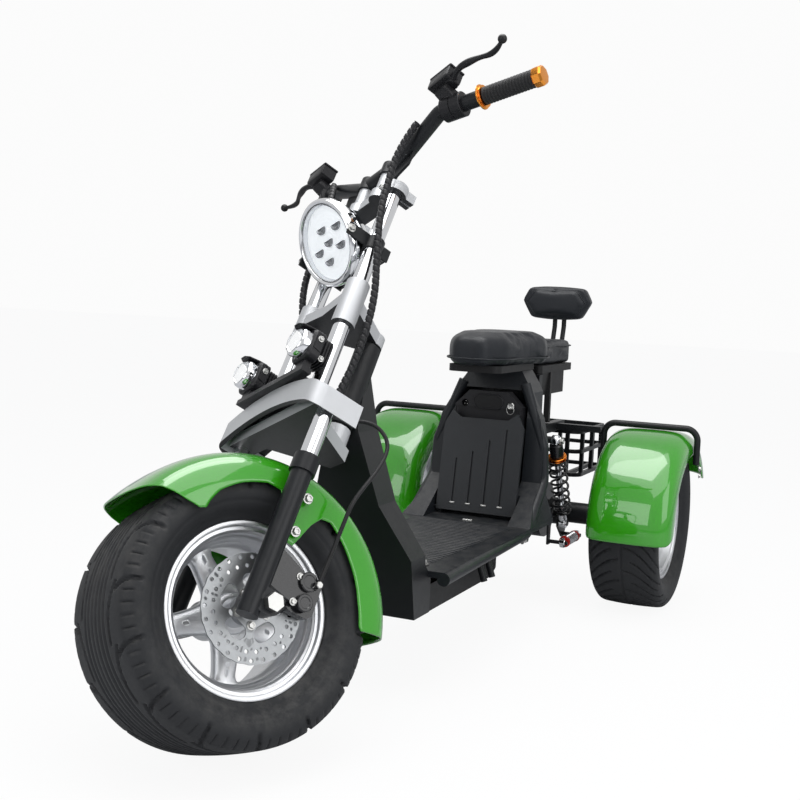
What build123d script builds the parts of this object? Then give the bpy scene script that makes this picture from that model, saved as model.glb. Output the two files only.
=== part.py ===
# Electric tricycle: one steered fat-tyre front wheel, a step-through floor with a battery seat, two rear wheels.
# Millimetres, +X forward, +Y left, +Z up. The ground is z = 0 and x = 0 is the middle of the overall length.
# Steering pieces are drawn in the fork's own frame (x ahead of the steering axis, y left, z up the axis from
# the level of the front axle) and are set into the tricycle at the angle at which the photograph shows them.
import os
from build123d import *
from math import asin, atan2, cos, degrees, pi, radians, sin, sqrt

os.makedirs("parts", exist_ok=True)

# Layout
wheel_base = 1400.0
rear_axle_x = -661.0
rear_track = 630.0
rake_angle = 38.0
steer_at_rest = -35.0
axle_ahead = 75.0
fork_ahead = 100.0
front_lift = 23.5
seat_gap = 0.3
run_gap = 5.0
overrun = 20.0

# Wheels
front_tyre_dia = 434.0
front_tyre_width = 225.0
rear_tyre_dia = 428.0
rear_tyre_width = 170.0
flange_height = 14.0
flange_thickness = 7.0
barrel_thickness = 6.0
spoke_count = 5
spoke_thickness = 16.0
hub_radius = 34.0
hub_bore = 10.0
front_rim_width = 174.0
rear_rim_width = 130.0
disc_radius = 88.0
disc_thickness = 4.0
disc_inner_radius = 40.0
disc_side = 99.0
disc_hole_radius = 3.2
disc_hole_count = 18
front_axle_radius = 9.7
nut_radius = 15.0
nut_height = 12.0

# Fork and yokes
leg_spacing = 149.0
leg_radius = 18.0
leg_bottom = -30.0
leg_top = 250.0
collar_radius = 22.0
collar_height = 30.0
tube_radius = 15.5
tube_spacing = 80.0
tube_top = 884.0
lower_yoke_z = 372.0
yoke_rise = 30.0
yoke_half_width = 172.0
yoke_front = 120.0
yoke_back = 48.0
yoke_skirt = 42.0
yoke_wall = 9.0
yoke_core = 24.0
stem_radius = 11.7
head_tube_radius = 24.0
head_tube_bore = 12.0
head_bottom = 412.0
head_top = 588.0
middle_yoke_z = 592.0
middle_yoke_thickness = 24.0
sleeve_radius = 22.0
sleeve_bottom = 546.0
sleeve_top = 640.0
top_yoke_z = 858.0
top_yoke_thickness = 20.0
clamp_radius = 25.0
clamp_lug = 26.0
riser_spacing = 38.0
riser_radius = 14.0
riser_ahead = 108.0
riser_height = 64.0
riser_top = top_yoke_z + riser_height

# Handlebar and controls
bar_radius = 15.0
bar_rise = 16.0
bar_z = riser_top + bar_rise
bar_flat = 56.0
bend_ahead = 120.0
bend_side = 192.0
bend_rise = 58.0
bend_z = bar_z + bend_rise
grip_end_ahead = 48.0
grip_end_side = 402.0
grip_end_rise = 81.0
grip_end_z = bar_z + grip_end_rise
hand_radius = 11.0
gusset_thickness = 5.0
gusset_depth = 62.0
grip_length = 104.0
grip_radius = 17.0
grip_flange_radius = 24.0
grip_flange_width = 9.0
grip_cap_length = 20.0
perch_side = 222.0
perch_width = 44.0
perch_radius = 18.0
reservoir_length = 62.0
reservoir_width = 34.0
reservoir_height = 30.0
lever_radius = 6.0
lever_ball_radius = 8.5

# Lamps
lamp_ahead = 163.0
lamp_z = 730.0
lamp_radius = 84.0
lamp_bowl_depth = 84.0
lamp_rim_depth = 20.0
lens_radius = 73.0
lens_thickness = 5.0
lamp_tilt = 44.0
lamp_arm_thickness = 3.5
lamp_arm_width = 26.0
spot_ahead = 92.0
spot_side = 98.0
spot_z = 455.0
spot_length = 62.0
spot_size = 50.0
spot_lens_radius = 23.0
spot_bar_z = 415.0

# Front mudguard and brake
guard_clearance = 23.0
guard_inner_radius = front_tyre_dia / 2 + guard_clearance
guard_crown_rise = 16.0
guard_half_width = 123.0
guard_sheet = 3.0
guard_front_angle = 21.0
guard_rear_angle = 164.0
tongue_width = 62.0
caliper_ahead = 10.0
caliper_z = 50.0
caliper_length = 66.0
caliper_height = 52.0
caliper_depth = 33.0

# Frame, floor and seat
neck_top_half = 18.0
neck_low_half = 128.0
neck_mid_half = 67.0
neck_top_z = 622.0
neck_waist_z = 510.0
neck_mid_z = 375.0
neck_low_z = 275.0
neck_bottom_z = 160.0
neck_rear_top_x = 1006.0
neck_front_low_x = 1002.0
neck_front_mid_x = 1040.0
neck_front_mid_z = 340.0
neck_front_top_x = 1074.0
neck_front_high_z = 518.0
floor_z = 243.0
floor_half_width = 160.0
floor_front = 945.0
floor_rear = 420.0
floor_sheet = 12.0
roll_radius = 13.0
tower_front = 300.0
tower_back = 190.0
wing_depth = 40.0
tower_top = 590.0
tower_top_half = 66.0
tower_wide_half = 140.0
tower_wall = 8.0
tower_wide_z = 415.0
tower_bend_z = 480.0
tower_neck_z = 560.0
tower_toe_z = 330.0
pan_front = 925.0
pan_rear = 500.0
pan_half_width = 106.0
pan_bottom = 146.0
battery_half_width = 84.0
battery_height = 262.0
battery_depth = 100.0
fascia_top = 540.0
fascia_half_width = 49.0
door_half_width = 100.0
door_bottom = 252.0
door_top = 490.0
door_thickness = 9.0
door_lean = 9.7
door_x = 362.0
door_rise_x = 41.0
hinge_up = 6.0
hinge_pin_radius = 3.0
hinge_pin_length = 8.0
handle_radius = 18.0
lock_radius = 9.0
saddle_front = 468.0
saddle_rear = 120.0
saddle_half_width = 106.0
saddle_nose_half = 76.0
saddle_bottom = 607.0
saddle_top = 676.0
pillion_front = 108.0
pillion_rear = -165.0
pillion_half_width = 62.0
pillion_tray_z = 577.0
pillion_pad_z = 596.0
pillion_top = 656.0
box_front = 96.0
box_rear = -110.0
box_bottom = 520.0
back_x = -222.0
back_half_width = 102.0
back_low = 710.0
back_high = 800.0
back_thickness = 42.0
post_radius = 6.5
post_spacing = 13.0
stay_top_x = 20.0

# Rear frame, suspension, basket and mudguards
rail_size = 30.0
axle_tube_radius = 27.0
motor_radius = 72.0
motor_half_width = 62.0
arm_side = 116.0
arm_rear_side = 88.0
arm_pivot_x = 400.0
arm_radius = 13.0
pin_radius = 8.0
rail_side = 70.0
rail_width = 20.0
strut_x = 165.0
shock_side = 128.0
shock_top_x = 168.0
shock_top_z = 418.0
shock_low_x = 62.0
shock_low_drop = 18.0
shock_low_z = rear_tyre_dia / 2 - shock_low_drop
coil_radius = 24.0
coil_wire_radius = 4.2
coil_turns = 7
arm_cross_x = 130.0
damper_coil_radius = 15.0
damper_wire_radius = 2.6
damper_turns = 6
damper_side = 152.0
damper_front_x = 140.0
damper_rear_x = 20.0
damper_drop = 54.0
damper_z = rear_tyre_dia / 2 - damper_drop
damper_plate_side = 114.0
damper_plate = 5.0
basket_front = -42.0
basket_rear = -300.0
basket_half_width = 132.0
basket_height = 124.0
basket_rise = 86.0
basket_bottom = rear_tyre_dia / 2 + basket_rise
basket_top = basket_bottom + basket_height
basket_bar = 10.0
seat_rail_height = 24.0
seat_rail_rear = -60.0
fender_clearance = 18.0
fender_inner_radius = rear_tyre_dia / 2 + fender_clearance
fender_sheet = 3.5
fender_inside = 91.0
fender_outside = 119.0
fender_inner_y = rear_track / 2 - fender_inside
fender_outer_y = rear_track / 2 + fender_outside
fender_corner = 26.0
fender_skirt = 26.0
fender_front_angle = -5.0
fender_rear_angle = 152.0
hoop_radius = 8.0
hoop_inside = 19.0
hoop_inner_y = fender_inner_y - hoop_inside
hoop_foot_rise = 116.0
hoop_foot = rear_tyre_dia / 2 + hoop_foot_rise
hoop_bend = 30.0
foot_x = 640.0
foot_drop = 56.0
foot_width = 60.0
foot_plate = 8.0
foot_radius = 7.0

# Cables
loom_radius = 7.0
hose_radius = 3.5

rake = radians(rake_angle)
axle_z = front_tyre_dia / 2
head_origin = (
    rear_axle_x + wheel_base - axle_ahead * cos(rake),
    0,
    axle_z - axle_ahead * sin(rake) + front_lift,
)
head_plane = Plane(origin=head_origin, x_dir=(cos(rake), 0, sin(rake)), z_dir=(-sin(rake), 0, cos(rake)))
steer = radians(steer_at_rest)
steered_plane = Plane(
    origin=head_origin,
    x_dir=(cos(rake) * cos(steer), sin(steer), sin(rake) * cos(steer)),
    z_dir=(-sin(rake), 0, cos(rake)),
)
sides = {"left": 1, "right": -1}
steered = {}
fixed = {}

# Tyres and rims, each turned about its own axle and set in place at the end
wheel_rows = [
    ("front", front_tyre_dia, front_tyre_width, front_rim_width, 1),
    ("rear_left", rear_tyre_dia, rear_tyre_width, rear_rim_width, 1),
    ("rear_right", rear_tyre_dia, rear_tyre_width, rear_rim_width, -1),
]
bead_clear = 1.0
bead_share = 0.585
side_low_share, side_wide_share, shoulder_share, tread_edge_share = 0.27, 0.52, 0.86, 0.955
side_low_width_share, shoulder_width_share, tread_width_share = 0.92, 0.93, 0.80
wall_shares, shoulder_shares, crown_shares = (0, 0.35, 0.7), (0, 0.3, 0.65), (0, 0.25, 0.5)
wheel_parts = {}
for wheel_name, tyre_dia, tyre_width, rim_width, face_side in wheel_rows:
    tyre_radius = tyre_dia / 2
    bead_radius = tyre_radius * bead_share
    flange_radius = bead_radius + flange_height
    section = tyre_radius - flange_radius
    half_tyre = tyre_width / 2
    half_rim = rim_width / 2
    bead_y = half_rim - flange_thickness - seat_gap
    low_point = (flange_radius + section * side_low_share, half_tyre * side_low_width_share)
    wide_point = (flange_radius + section * side_wide_share, half_tyre)
    shoulder_point = (flange_radius + section * shoulder_share, half_tyre * shoulder_width_share)
    edge_point = (flange_radius + section * tread_edge_share, half_tyre * tread_width_share)
    wall_foot = (flange_radius + bead_clear, half_rim + bead_clear)
    wall = ThreePointArc(wall_foot, low_point, wide_point)
    shoulder = ThreePointArc(wide_point, shoulder_point, edge_point)
    crown = ThreePointArc(edge_point, (tyre_radius, 0), (edge_point[0], -edge_point[1]))
    half_outline = [wall @ share for share in wall_shares]
    half_outline += [shoulder @ share for share in shoulder_shares]
    half_outline += [crown @ share for share in crown_shares]
    with BuildPart() as tyre:
        with BuildSketch(Plane.XY):
            with BuildLine():
                Polyline(
                    (bead_radius + seat_gap, -bead_y),
                    (bead_radius + seat_gap, bead_y),
                    (flange_radius + bead_clear, bead_y),
                    *[(point.X, point.Y) for point in half_outline],
                    *[(point.X, -point.Y) for point in reversed(half_outline[:-1])],
                    (flange_radius + bead_clear, -bead_y),
                    close=True,
                )
            make_face()
        revolve(axis=Axis.Y)
    wheel_parts[wheel_name + "_tyre"] = tyre.part

    # The barrel steps down from the flange to a deep dish, and the spoke face sits off the middle
    dish_radius = bead_radius - barrel_thickness
    step_radius = dish_radius - barrel_thickness
    face_y = face_side * half_rim * 0.24
    with BuildPart() as rim:
        with BuildSketch(Plane.XY):
            with BuildLine():
                Polyline(
                    (dish_radius, -half_rim + flange_thickness),
                    (flange_radius - barrel_thickness, -half_rim),
                    (flange_radius, -half_rim),
                    (flange_radius, -half_rim + flange_thickness),
                    (bead_radius, -half_rim + flange_thickness),
                    (bead_radius, half_rim - flange_thickness),
                    (flange_radius, half_rim - flange_thickness),
                    (flange_radius, half_rim),
                    (flange_radius - barrel_thickness, half_rim),
                    (dish_radius, half_rim - flange_thickness),
                    (dish_radius, face_y + spoke_thickness),
                    (step_radius, face_y + spoke_thickness / 2),
                    (step_radius, face_y - spoke_thickness / 2),
                    (dish_radius, face_y - spoke_thickness),
                    close=True,
                )
            make_face()
        revolve(axis=Axis.Y)
        with BuildSketch(Plane.XZ.offset(-face_y - spoke_thickness / 2)):
            Circle(step_radius + seat_gap)
        extrude(amount=spoke_thickness)
        with BuildSketch(Plane.XZ.offset(-face_y - spoke_thickness / 2)):
            window_inner = hub_radius * 1.45
            window_outer = step_radius - barrel_thickness
            with PolarLocations(0, spoke_count):
                Polygon(
                    (window_inner, -hub_radius * 0.18),
                    (window_outer * 0.9, -window_outer * 0.44),
                    (window_outer * 0.97, -window_outer * 0.24),
                    (window_outer, 0),
                    (window_outer * 0.97, window_outer * 0.24),
                    (window_outer * 0.9, window_outer * 0.44),
                    (window_inner, hub_radius * 0.18),
                    align=None,
                )
        extrude(amount=spoke_thickness, mode=Mode.SUBTRACT)
        with BuildSketch(Plane.XZ.offset(-half_rim * 0.8)):
            Circle(hub_radius)
        extrude(amount=half_rim * 1.6)
        with BuildSketch(Plane.XZ.offset(-half_rim)):
            Circle(hub_bore)
        extrude(amount=rim_width, mode=Mode.SUBTRACT)
    wheel_parts[wheel_name + "_rim"] = rim.part

# Brake disc on the left face of the front hub, on a short carrier
with BuildPart() as brake_disc:
    with BuildSketch(Plane.XZ.offset(-disc_side - disc_thickness / 2)):
        Circle(disc_radius)
        Circle(disc_inner_radius, mode=Mode.SUBTRACT)
        with PolarLocations((disc_radius + disc_inner_radius) * 0.56, disc_hole_count):
            Circle(disc_hole_radius, mode=Mode.SUBTRACT)
    extrude(amount=disc_thickness)
    with BuildSketch(Plane.XZ.offset(-disc_side - disc_thickness / 2)):
        with PolarLocations((disc_inner_radius + hub_radius) / 2, spoke_count):
            Rectangle(disc_inner_radius - hub_radius + disc_thickness * 5, disc_thickness * 4)
        Circle(hub_radius * 0.9)
        Circle(hub_bore, mode=Mode.SUBTRACT)
    extrude(amount=disc_thickness)
    with BuildSketch(Plane.XZ.offset(-disc_side + disc_thickness / 2)):
        Circle(hub_radius * 0.7)
        Circle(hub_bore, mode=Mode.SUBTRACT)
    extrude(amount=disc_side - disc_thickness / 2 - front_rim_width * 0.4)
brake_disc_part = brake_disc.part

# Fork, in the fork's own frame
for side, sign in sides.items():
    leg_y = sign * leg_spacing
    with BuildPart() as leg:
        with BuildSketch(Plane.XY.offset(leg_bottom)):
            with Locations((fork_ahead, leg_y)):
                Circle(leg_radius)
        extrude(amount=leg_top - leg_bottom)
        with BuildSketch(Plane.XY.offset(leg_top - collar_height)):
            with Locations((fork_ahead, leg_y)):
                Circle(collar_radius)
        extrude(amount=collar_height)
        with BuildSketch(Plane.XZ.offset(-leg_y - leg_radius * 0.9)):
            with Locations((axle_ahead, 0)):
                Circle(leg_radius * 1.1)
            with Locations(((axle_ahead + fork_ahead) / 2, 0)):
                Rectangle(fork_ahead - axle_ahead, leg_radius * 2.2)
        extrude(amount=leg_radius * 1.8)
        with BuildSketch(Plane.XZ.offset(-leg_y - leg_radius)):
            with Locations((axle_ahead, 0)):
                Circle(hub_bore)
        extrude(amount=leg_radius * 2, mode=Mode.SUBTRACT)
        with BuildSketch(Plane.XY.offset(leg_top - overrun * 2)):
            with Locations((fork_ahead, leg_y)):
                Circle(tube_radius)
        extrude(amount=overrun * 3, mode=Mode.SUBTRACT)
    steered["fork_leg_" + side] = leg.part

    # One chrome tube runs from the leg into the lower yoke, the other from there to the top yoke
    with BuildPart() as chrome:
        with BuildSketch(Plane.XY.offset(leg_top - overrun * 2)):
            with Locations((fork_ahead, leg_y)):
                Circle(tube_radius)
        extrude(amount=lower_yoke_z - leg_top + overrun * 2)
    steered["fork_tube_" + side] = chrome.part
    with BuildPart() as upper:
        with BuildSketch(Plane.XY.offset(lower_yoke_z)):
            with Locations((fork_ahead, sign * tube_spacing)):
                Circle(tube_radius)
        extrude(amount=tube_top - lower_yoke_z)
    steered["upper_tube_" + side] = upper.part

with BuildPart() as front_axle:
    with BuildSketch(Plane.XZ.offset(-leg_spacing - leg_radius)):
        with Locations((axle_ahead, 0)):
            Circle(front_axle_radius)
    extrude(amount=(leg_spacing + leg_radius) * 2)
    for sign in sides.values():
        nut_start = sign * (leg_spacing + leg_radius * 0.9 + seat_gap)
        with BuildSketch(Plane.XZ.offset(-nut_start)):
            with Locations((axle_ahead, 0)):
                RegularPolygon(nut_radius, 6)
        extrude(amount=-sign * nut_height)
steered["front_axle"] = front_axle.part

# Lower yoke: an arched casting, open below, over a core that grips all four tubes and carries the stem
with BuildPart() as lower_yoke:
    with BuildSketch(Plane.YZ.offset(yoke_back)) as arch:
        with BuildLine():
            top_arc = ThreePointArc(
                (-yoke_half_width, lower_yoke_z), (0, lower_yoke_z + yoke_rise), (yoke_half_width, lower_yoke_z)
            )
            low_arc = ThreePointArc(
                (yoke_half_width, lower_yoke_z - yoke_skirt),
                (0, lower_yoke_z + yoke_rise - yoke_skirt),
                (-yoke_half_width, lower_yoke_z - yoke_skirt),
            )
            Line(top_arc @ 1, low_arc @ 0)
            Line(low_arc @ 1, top_arc @ 0)
        make_face()
    extrude(amount=yoke_front - yoke_back + yoke_core)
    corner_edges = lower_yoke.edges().filter_by(Axis.Z).group_by(Axis.X)[-1]
    fillet(corner_edges, yoke_core)
    with BuildSketch(Plane.YZ.offset(yoke_back - overrun)):
        with BuildLine():
            inner_top = ThreePointArc(
                (-yoke_half_width + yoke_wall, lower_yoke_z - yoke_wall),
                (0, lower_yoke_z + yoke_rise - yoke_wall),
                (yoke_half_width - yoke_wall, lower_yoke_z - yoke_wall),
            )
            Polyline(
                inner_top @ 1,
                (yoke_half_width - yoke_wall, lower_yoke_z - yoke_skirt - overrun),
                (-yoke_half_width + yoke_wall, lower_yoke_z - yoke_skirt - overrun),
                inner_top @ 0,
            )
        make_face()
    extrude(amount=yoke_front - yoke_back + yoke_core - yoke_wall + overrun, mode=Mode.SUBTRACT)
    with BuildSketch(Plane.XY.offset(lower_yoke_z - yoke_wall * 0.5)):
        with Locations((fork_ahead, 0)):
            Rectangle(yoke_core * 1.8, (leg_spacing + tube_radius) * 2 - yoke_wall)
        with BuildLine():
            Polyline(
                (-yoke_core, -yoke_core),
                (fork_ahead, -tube_spacing - yoke_core),
                (fork_ahead, tube_spacing + yoke_core),
                (-yoke_core, yoke_core),
                close=True,
            )
        make_face()
    extrude(amount=-yoke_core)
    with Locations((0, 0, lower_yoke_z - yoke_wall * 0.5 - yoke_core)):
        Cylinder(
            yoke_core,
            yoke_core + head_bottom - lower_yoke_z - run_gap * 0.2,
            align=(Align.CENTER, Align.CENTER, Align.MIN),
        )
        Cylinder(
            stem_radius,
            middle_yoke_z - lower_yoke_z + yoke_core + yoke_wall * 0.5 - seat_gap,
            align=(Align.CENTER, Align.CENTER, Align.MIN),
        )
    for sign in sides.values():
        with Locations((fork_ahead, sign * leg_spacing, lower_yoke_z - yoke_core * 2)):
            Cylinder(
                tube_radius + seat_gap,
                yoke_core * 2,
                align=(Align.CENTER, Align.CENTER, Align.MIN),
                mode=Mode.SUBTRACT,
            )
        with Locations((fork_ahead, sign * tube_spacing, lower_yoke_z)):
            Cylinder(
                tube_radius + seat_gap,
                yoke_rise * 2,
                align=(Align.CENTER, Align.CENTER, Align.MIN),
                mode=Mode.SUBTRACT,
            )
steered["lower_yoke"] = lower_yoke.part

# Middle yoke: a plate above the steering head with a long sleeve round each upper tube
with BuildPart() as middle_yoke:
    with BuildSketch(Plane.XY.offset(middle_yoke_z)):
        Circle(head_tube_radius)
        with BuildLine():
            Polyline(
                (0, -head_tube_radius),
                (fork_ahead, -tube_spacing - sleeve_radius * 0.5),
                (fork_ahead + sleeve_radius * 0.8, -tube_spacing),
                (fork_ahead + sleeve_radius * 0.5, 0),
                (fork_ahead + sleeve_radius * 0.8, tube_spacing),
                (fork_ahead, tube_spacing + sleeve_radius * 0.5),
                (0, head_tube_radius),
                close=True,
            )
        make_face()
    extrude(amount=middle_yoke_thickness)
    for sign in sides.values():
        with BuildSketch(Plane.XY.offset(sleeve_bottom)):
            with Locations((fork_ahead, sign * tube_spacing)):
                Circle(sleeve_radius)
        extrude(amount=sleeve_top - sleeve_bottom)
    for sign in sides.values():
        with BuildSketch(Plane.XY.offset(sleeve_bottom - overrun)):
            with Locations((fork_ahead, sign * tube_spacing)):
                Circle(tube_radius + seat_gap)
        extrude(amount=sleeve_top - sleeve_bottom + overrun * 2, mode=Mode.SUBTRACT)
steered["middle_yoke"] = middle_yoke.part

# Top yoke: split clamps with a pinch lug behind each, and two risers
with BuildPart() as top_yoke:
    with BuildSketch(Plane.XY.offset(top_yoke_z)):
        for sign in sides.values():
            with Locations((fork_ahead, sign * tube_spacing)):
                Circle(clamp_radius)
            with Locations((fork_ahead - clamp_radius * 1.1, sign * tube_spacing)):
                Rectangle(clamp_lug, clamp_lug)
        with Locations((fork_ahead, 0)):
            Rectangle(clamp_radius * 1.4, tube_spacing * 2)
        for sign in sides.values():
            with Locations((riser_ahead, sign * riser_spacing)):
                Circle(riser_radius * 1.4)
    extrude(amount=top_yoke_thickness)
    with BuildSketch(Plane.XY.offset(top_yoke_z - overrun)):
        for sign in sides.values():
            with Locations((fork_ahead, sign * tube_spacing)):
                Circle(tube_radius + seat_gap)
            with Locations((fork_ahead - clamp_radius * 1.2, sign * tube_spacing)):
                Rectangle(clamp_radius * 1.6, tube_radius * 0.2)
    extrude(amount=top_yoke_thickness + overrun * 2, mode=Mode.SUBTRACT)
    for sign in sides.values():
        with BuildSketch(Plane.XY.offset(top_yoke_z + top_yoke_thickness)):
            with Locations((riser_ahead, sign * riser_spacing)):
                Circle(riser_radius)
        extrude(amount=riser_top - top_yoke_z - top_yoke_thickness)
steered["top_yoke"] = top_yoke.part

# Handlebar: a fat tube that rises outward from the risers and turns back to the grips
bar_points = [
    (grip_end_ahead, grip_end_side, grip_end_z),
    (bend_ahead, bend_side, bend_z),
    (riser_ahead, bar_flat, bar_z),
    (riser_ahead, -bar_flat, bar_z),
    (bend_ahead, -bend_side, bend_z),
    (grip_end_ahead, -grip_end_side, grip_end_z),
]
grip_vector = Vector(*bar_points[0]) - Vector(*bar_points[1])
grip_direction = grip_vector.normalized()
grip_start = Vector(*bar_points[0]) - grip_direction * (grip_length + grip_flange_width + grip_cap_length)
with BuildPart() as handlebar:
    with BuildLine():
        spine = FilletPolyline(
            tuple(grip_start),
            *bar_points[1:5],
            (grip_start.X, -grip_start.Y, grip_start.Z),
            radius=bar_radius * 2.4,
        )
    with BuildSketch(Plane(origin=spine @ 0, z_dir=spine % 0)):
        Circle(bar_radius)
    sweep()
    for sign in sides.values():
        end_plane = Plane(
            origin=(grip_start.X, sign * grip_start.Y, grip_start.Z),
            z_dir=(grip_direction.X, sign * grip_direction.Y, grip_direction.Z),
        )
        with BuildSketch(end_plane):
            Circle(hand_radius)
        extrude(amount=grip_length + grip_flange_width + grip_cap_length / 2)
        with BuildSketch(Plane.YZ.offset(riser_ahead - gusset_thickness / 2)):
            with BuildLine():
                Polyline(
                    (sign * bar_flat * 0.98, bar_z),
                    (sign * (bar_flat + gusset_depth), bar_z + gusset_depth * 0.45),
                    (sign * (bar_flat + gusset_depth * 0.9), bar_z - gusset_depth * 0.35),
                    (sign * bar_flat, bar_z - gusset_depth * 0.75),
                    close=True,
                )
            make_face()
        extrude(amount=gusset_thickness)
    for sign in sides.values():
        with Locations((riser_ahead, sign * riser_spacing, riser_top + seat_gap)):
            Cylinder(
                riser_radius * 1.3,
                bar_z - riser_top + bar_radius * 0.8,
                align=(Align.CENTER, Align.CENTER, Align.MIN),
            )
steered["handlebar"] = handlebar.part

# Grips, levers and their perches
for side, sign in sides.items():
    grip_plane = Plane(
        origin=(grip_start.X, sign * grip_start.Y, grip_start.Z),
        z_dir=(grip_direction.X, sign * grip_direction.Y, grip_direction.Z),
    )
    with BuildPart() as grip:
        with BuildSketch(grip_plane.offset(seat_gap)):
            Circle(grip_flange_radius)
        extrude(amount=grip_flange_width)
        with BuildSketch(grip_plane.offset(seat_gap + grip_flange_width)):
            Circle(grip_radius)
        extrude(amount=grip_length)
        with BuildSketch(grip_plane.offset(grip_flange_width + grip_length)):
            RegularPolygon(grip_radius * 1.15, 8)
        extrude(amount=grip_cap_length)
        with BuildSketch(grip_plane):
            Circle(hand_radius + seat_gap)
        extrude(amount=grip_length + grip_flange_width + grip_cap_length / 2 + seat_gap, mode=Mode.SUBTRACT)
    steered["grip_" + side] = grip.part

    # The perch clamps the bar just inside the grip and carries the fluid box above and ahead
    clamp_share = (perch_side - bend_side) / (grip_end_side - bend_side)
    perch_origin = Vector(*bar_points[1]) + grip_vector * clamp_share
    perch_at = (perch_origin.X, sign * perch_origin.Y, perch_origin.Z)
    perch_plane = Plane(
        origin=perch_at,
        x_dir=(1, 0, 0.3),
        z_dir=(grip_direction.X, sign * grip_direction.Y, grip_direction.Z),
    )
    with BuildPart() as perch:
        with BuildSketch(perch_plane.offset(-perch_width / 2)):
            Circle(perch_radius + bar_radius * 0.4)
            with Locations((perch_radius * 1.6, 0)):
                Rectangle(perch_radius * 2.2, perch_radius * 1.6)
        extrude(amount=perch_width)
        with BuildSketch(perch_plane.offset(-perch_width)):
            Circle(bar_radius + seat_gap)
        extrude(amount=perch_width * 2, mode=Mode.SUBTRACT)
        with BuildSketch(Plane.XY.offset(bend_z + bar_radius * 1.6)):
            with Locations((perch_at[0] + perch_radius * 2, perch_at[1])):
                RectangleRounded(reservoir_width, reservoir_length, run_gap)
        extrude(amount=reservoir_height)
        lever_rise = bend_z + bar_radius * 2.2
        lever_y = perch_side + perch_width / 2
        with BuildLine():
            blade = FilletPolyline(
                (perch_at[0] + perch_radius * 1.5, sign * lever_y, lever_rise),
                (perch_at[0] + perch_radius * 2.4, sign * (lever_y + bar_radius * 2), lever_rise),
                (perch_at[0] + perch_radius * 1.4, sign * (lever_y + bar_radius * 7), lever_rise + lever_radius),
                (perch_at[0] + perch_radius * 1.9, sign * (lever_y + bar_radius * 9.6), lever_rise + lever_radius),
                radius=bar_radius * 1.5,
            )
        with BuildSketch(Plane(origin=blade @ 0, z_dir=blade % 0)):
            Ellipse(lever_radius * 0.8, lever_radius * 1.2)
        sweep()
        with Locations(tuple(blade @ 1)):
            Sphere(lever_ball_radius)
    steered["lever_perch_" + side] = perch.part

# Round headlight between the upper tubes, with a domed bowl, a stepped rim and an arm to each tube
lamp_plane = Plane(
    origin=(lamp_ahead, 0, lamp_z),
    x_dir=(0, 1, 0),
    z_dir=(cos(radians(lamp_tilt)), 0, -sin(radians(lamp_tilt))),
)
bowl_shares = [(0, 1.0), (0.3, 0.96), (0.55, 0.84), (0.76, 0.63), (0.88, 0.42)]
bowl_rim_share = 0.93
with BuildPart() as headlight:
    with BuildSketch(Plane(origin=lamp_plane.origin, x_dir=lamp_plane.x_dir, z_dir=-lamp_plane.y_dir)):
        with BuildLine():
            Polyline(
                *[(lamp_radius * out_share, -lamp_bowl_depth * deep_share) for out_share, deep_share in bowl_shares],
                (lamp_radius * bowl_rim_share, -lamp_rim_depth),
                (lamp_radius, -lamp_rim_depth),
                (lamp_radius, -lens_thickness),
                (lamp_radius * 0.95, 0),
                (lens_radius + seat_gap, 0),
                (lens_radius + seat_gap, -lens_thickness - seat_gap),
                (lens_radius * 0.94, -lens_thickness - seat_gap),
                (lens_radius * 0.8, -lamp_bowl_depth * 0.5),
                (0, -lamp_bowl_depth * 0.72),
                close=True,
            )
        make_face()
    revolve(axis=Axis(lamp_plane.origin, lamp_plane.z_dir))
steered["headlight"] = headlight.part

with BuildPart() as headlight_lens:
    with BuildSketch(lamp_plane.offset(-lens_thickness)):
        Circle(lens_radius)
    extrude(amount=lens_thickness)
steered["headlight_lens"] = headlight_lens.part

with BuildPart() as lamp_bracket:
    for sign in sides.values():
        with BuildSketch(Plane.XY.offset(lamp_z - lamp_arm_width / 2)):
            with Locations((fork_ahead, sign * tube_spacing)):
                Circle(tube_radius + lamp_arm_thickness)
            with Locations((
                (fork_ahead + lamp_ahead) / 2, sign * (lamp_radius + lamp_arm_thickness / 2 + seat_gap)
            )):
                Rectangle(lamp_ahead - fork_ahead, lamp_arm_thickness)
            with Locations((fork_ahead - tube_radius * 1.5, sign * tube_spacing)):
                Rectangle(tube_radius * 1.7, lamp_arm_thickness)
        extrude(amount=lamp_arm_width)
        with BuildSketch(Plane.XY.offset(lamp_z - lamp_arm_width)):
            with Locations((fork_ahead, sign * tube_spacing)):
                Circle(tube_radius + seat_gap)
        extrude(amount=lamp_arm_width * 2, mode=Mode.SUBTRACT)
    with BuildSketch(Plane.YZ.offset(fork_ahead - tube_radius * 2.2)):
        with Locations((0, lamp_z - run_gap / 2)):
            Rectangle(tube_spacing * 2 + lamp_arm_thickness, lamp_arm_width - run_gap)
    extrude(amount=lamp_arm_thickness)
steered["lamp_bracket"] = lamp_bracket.part

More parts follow.
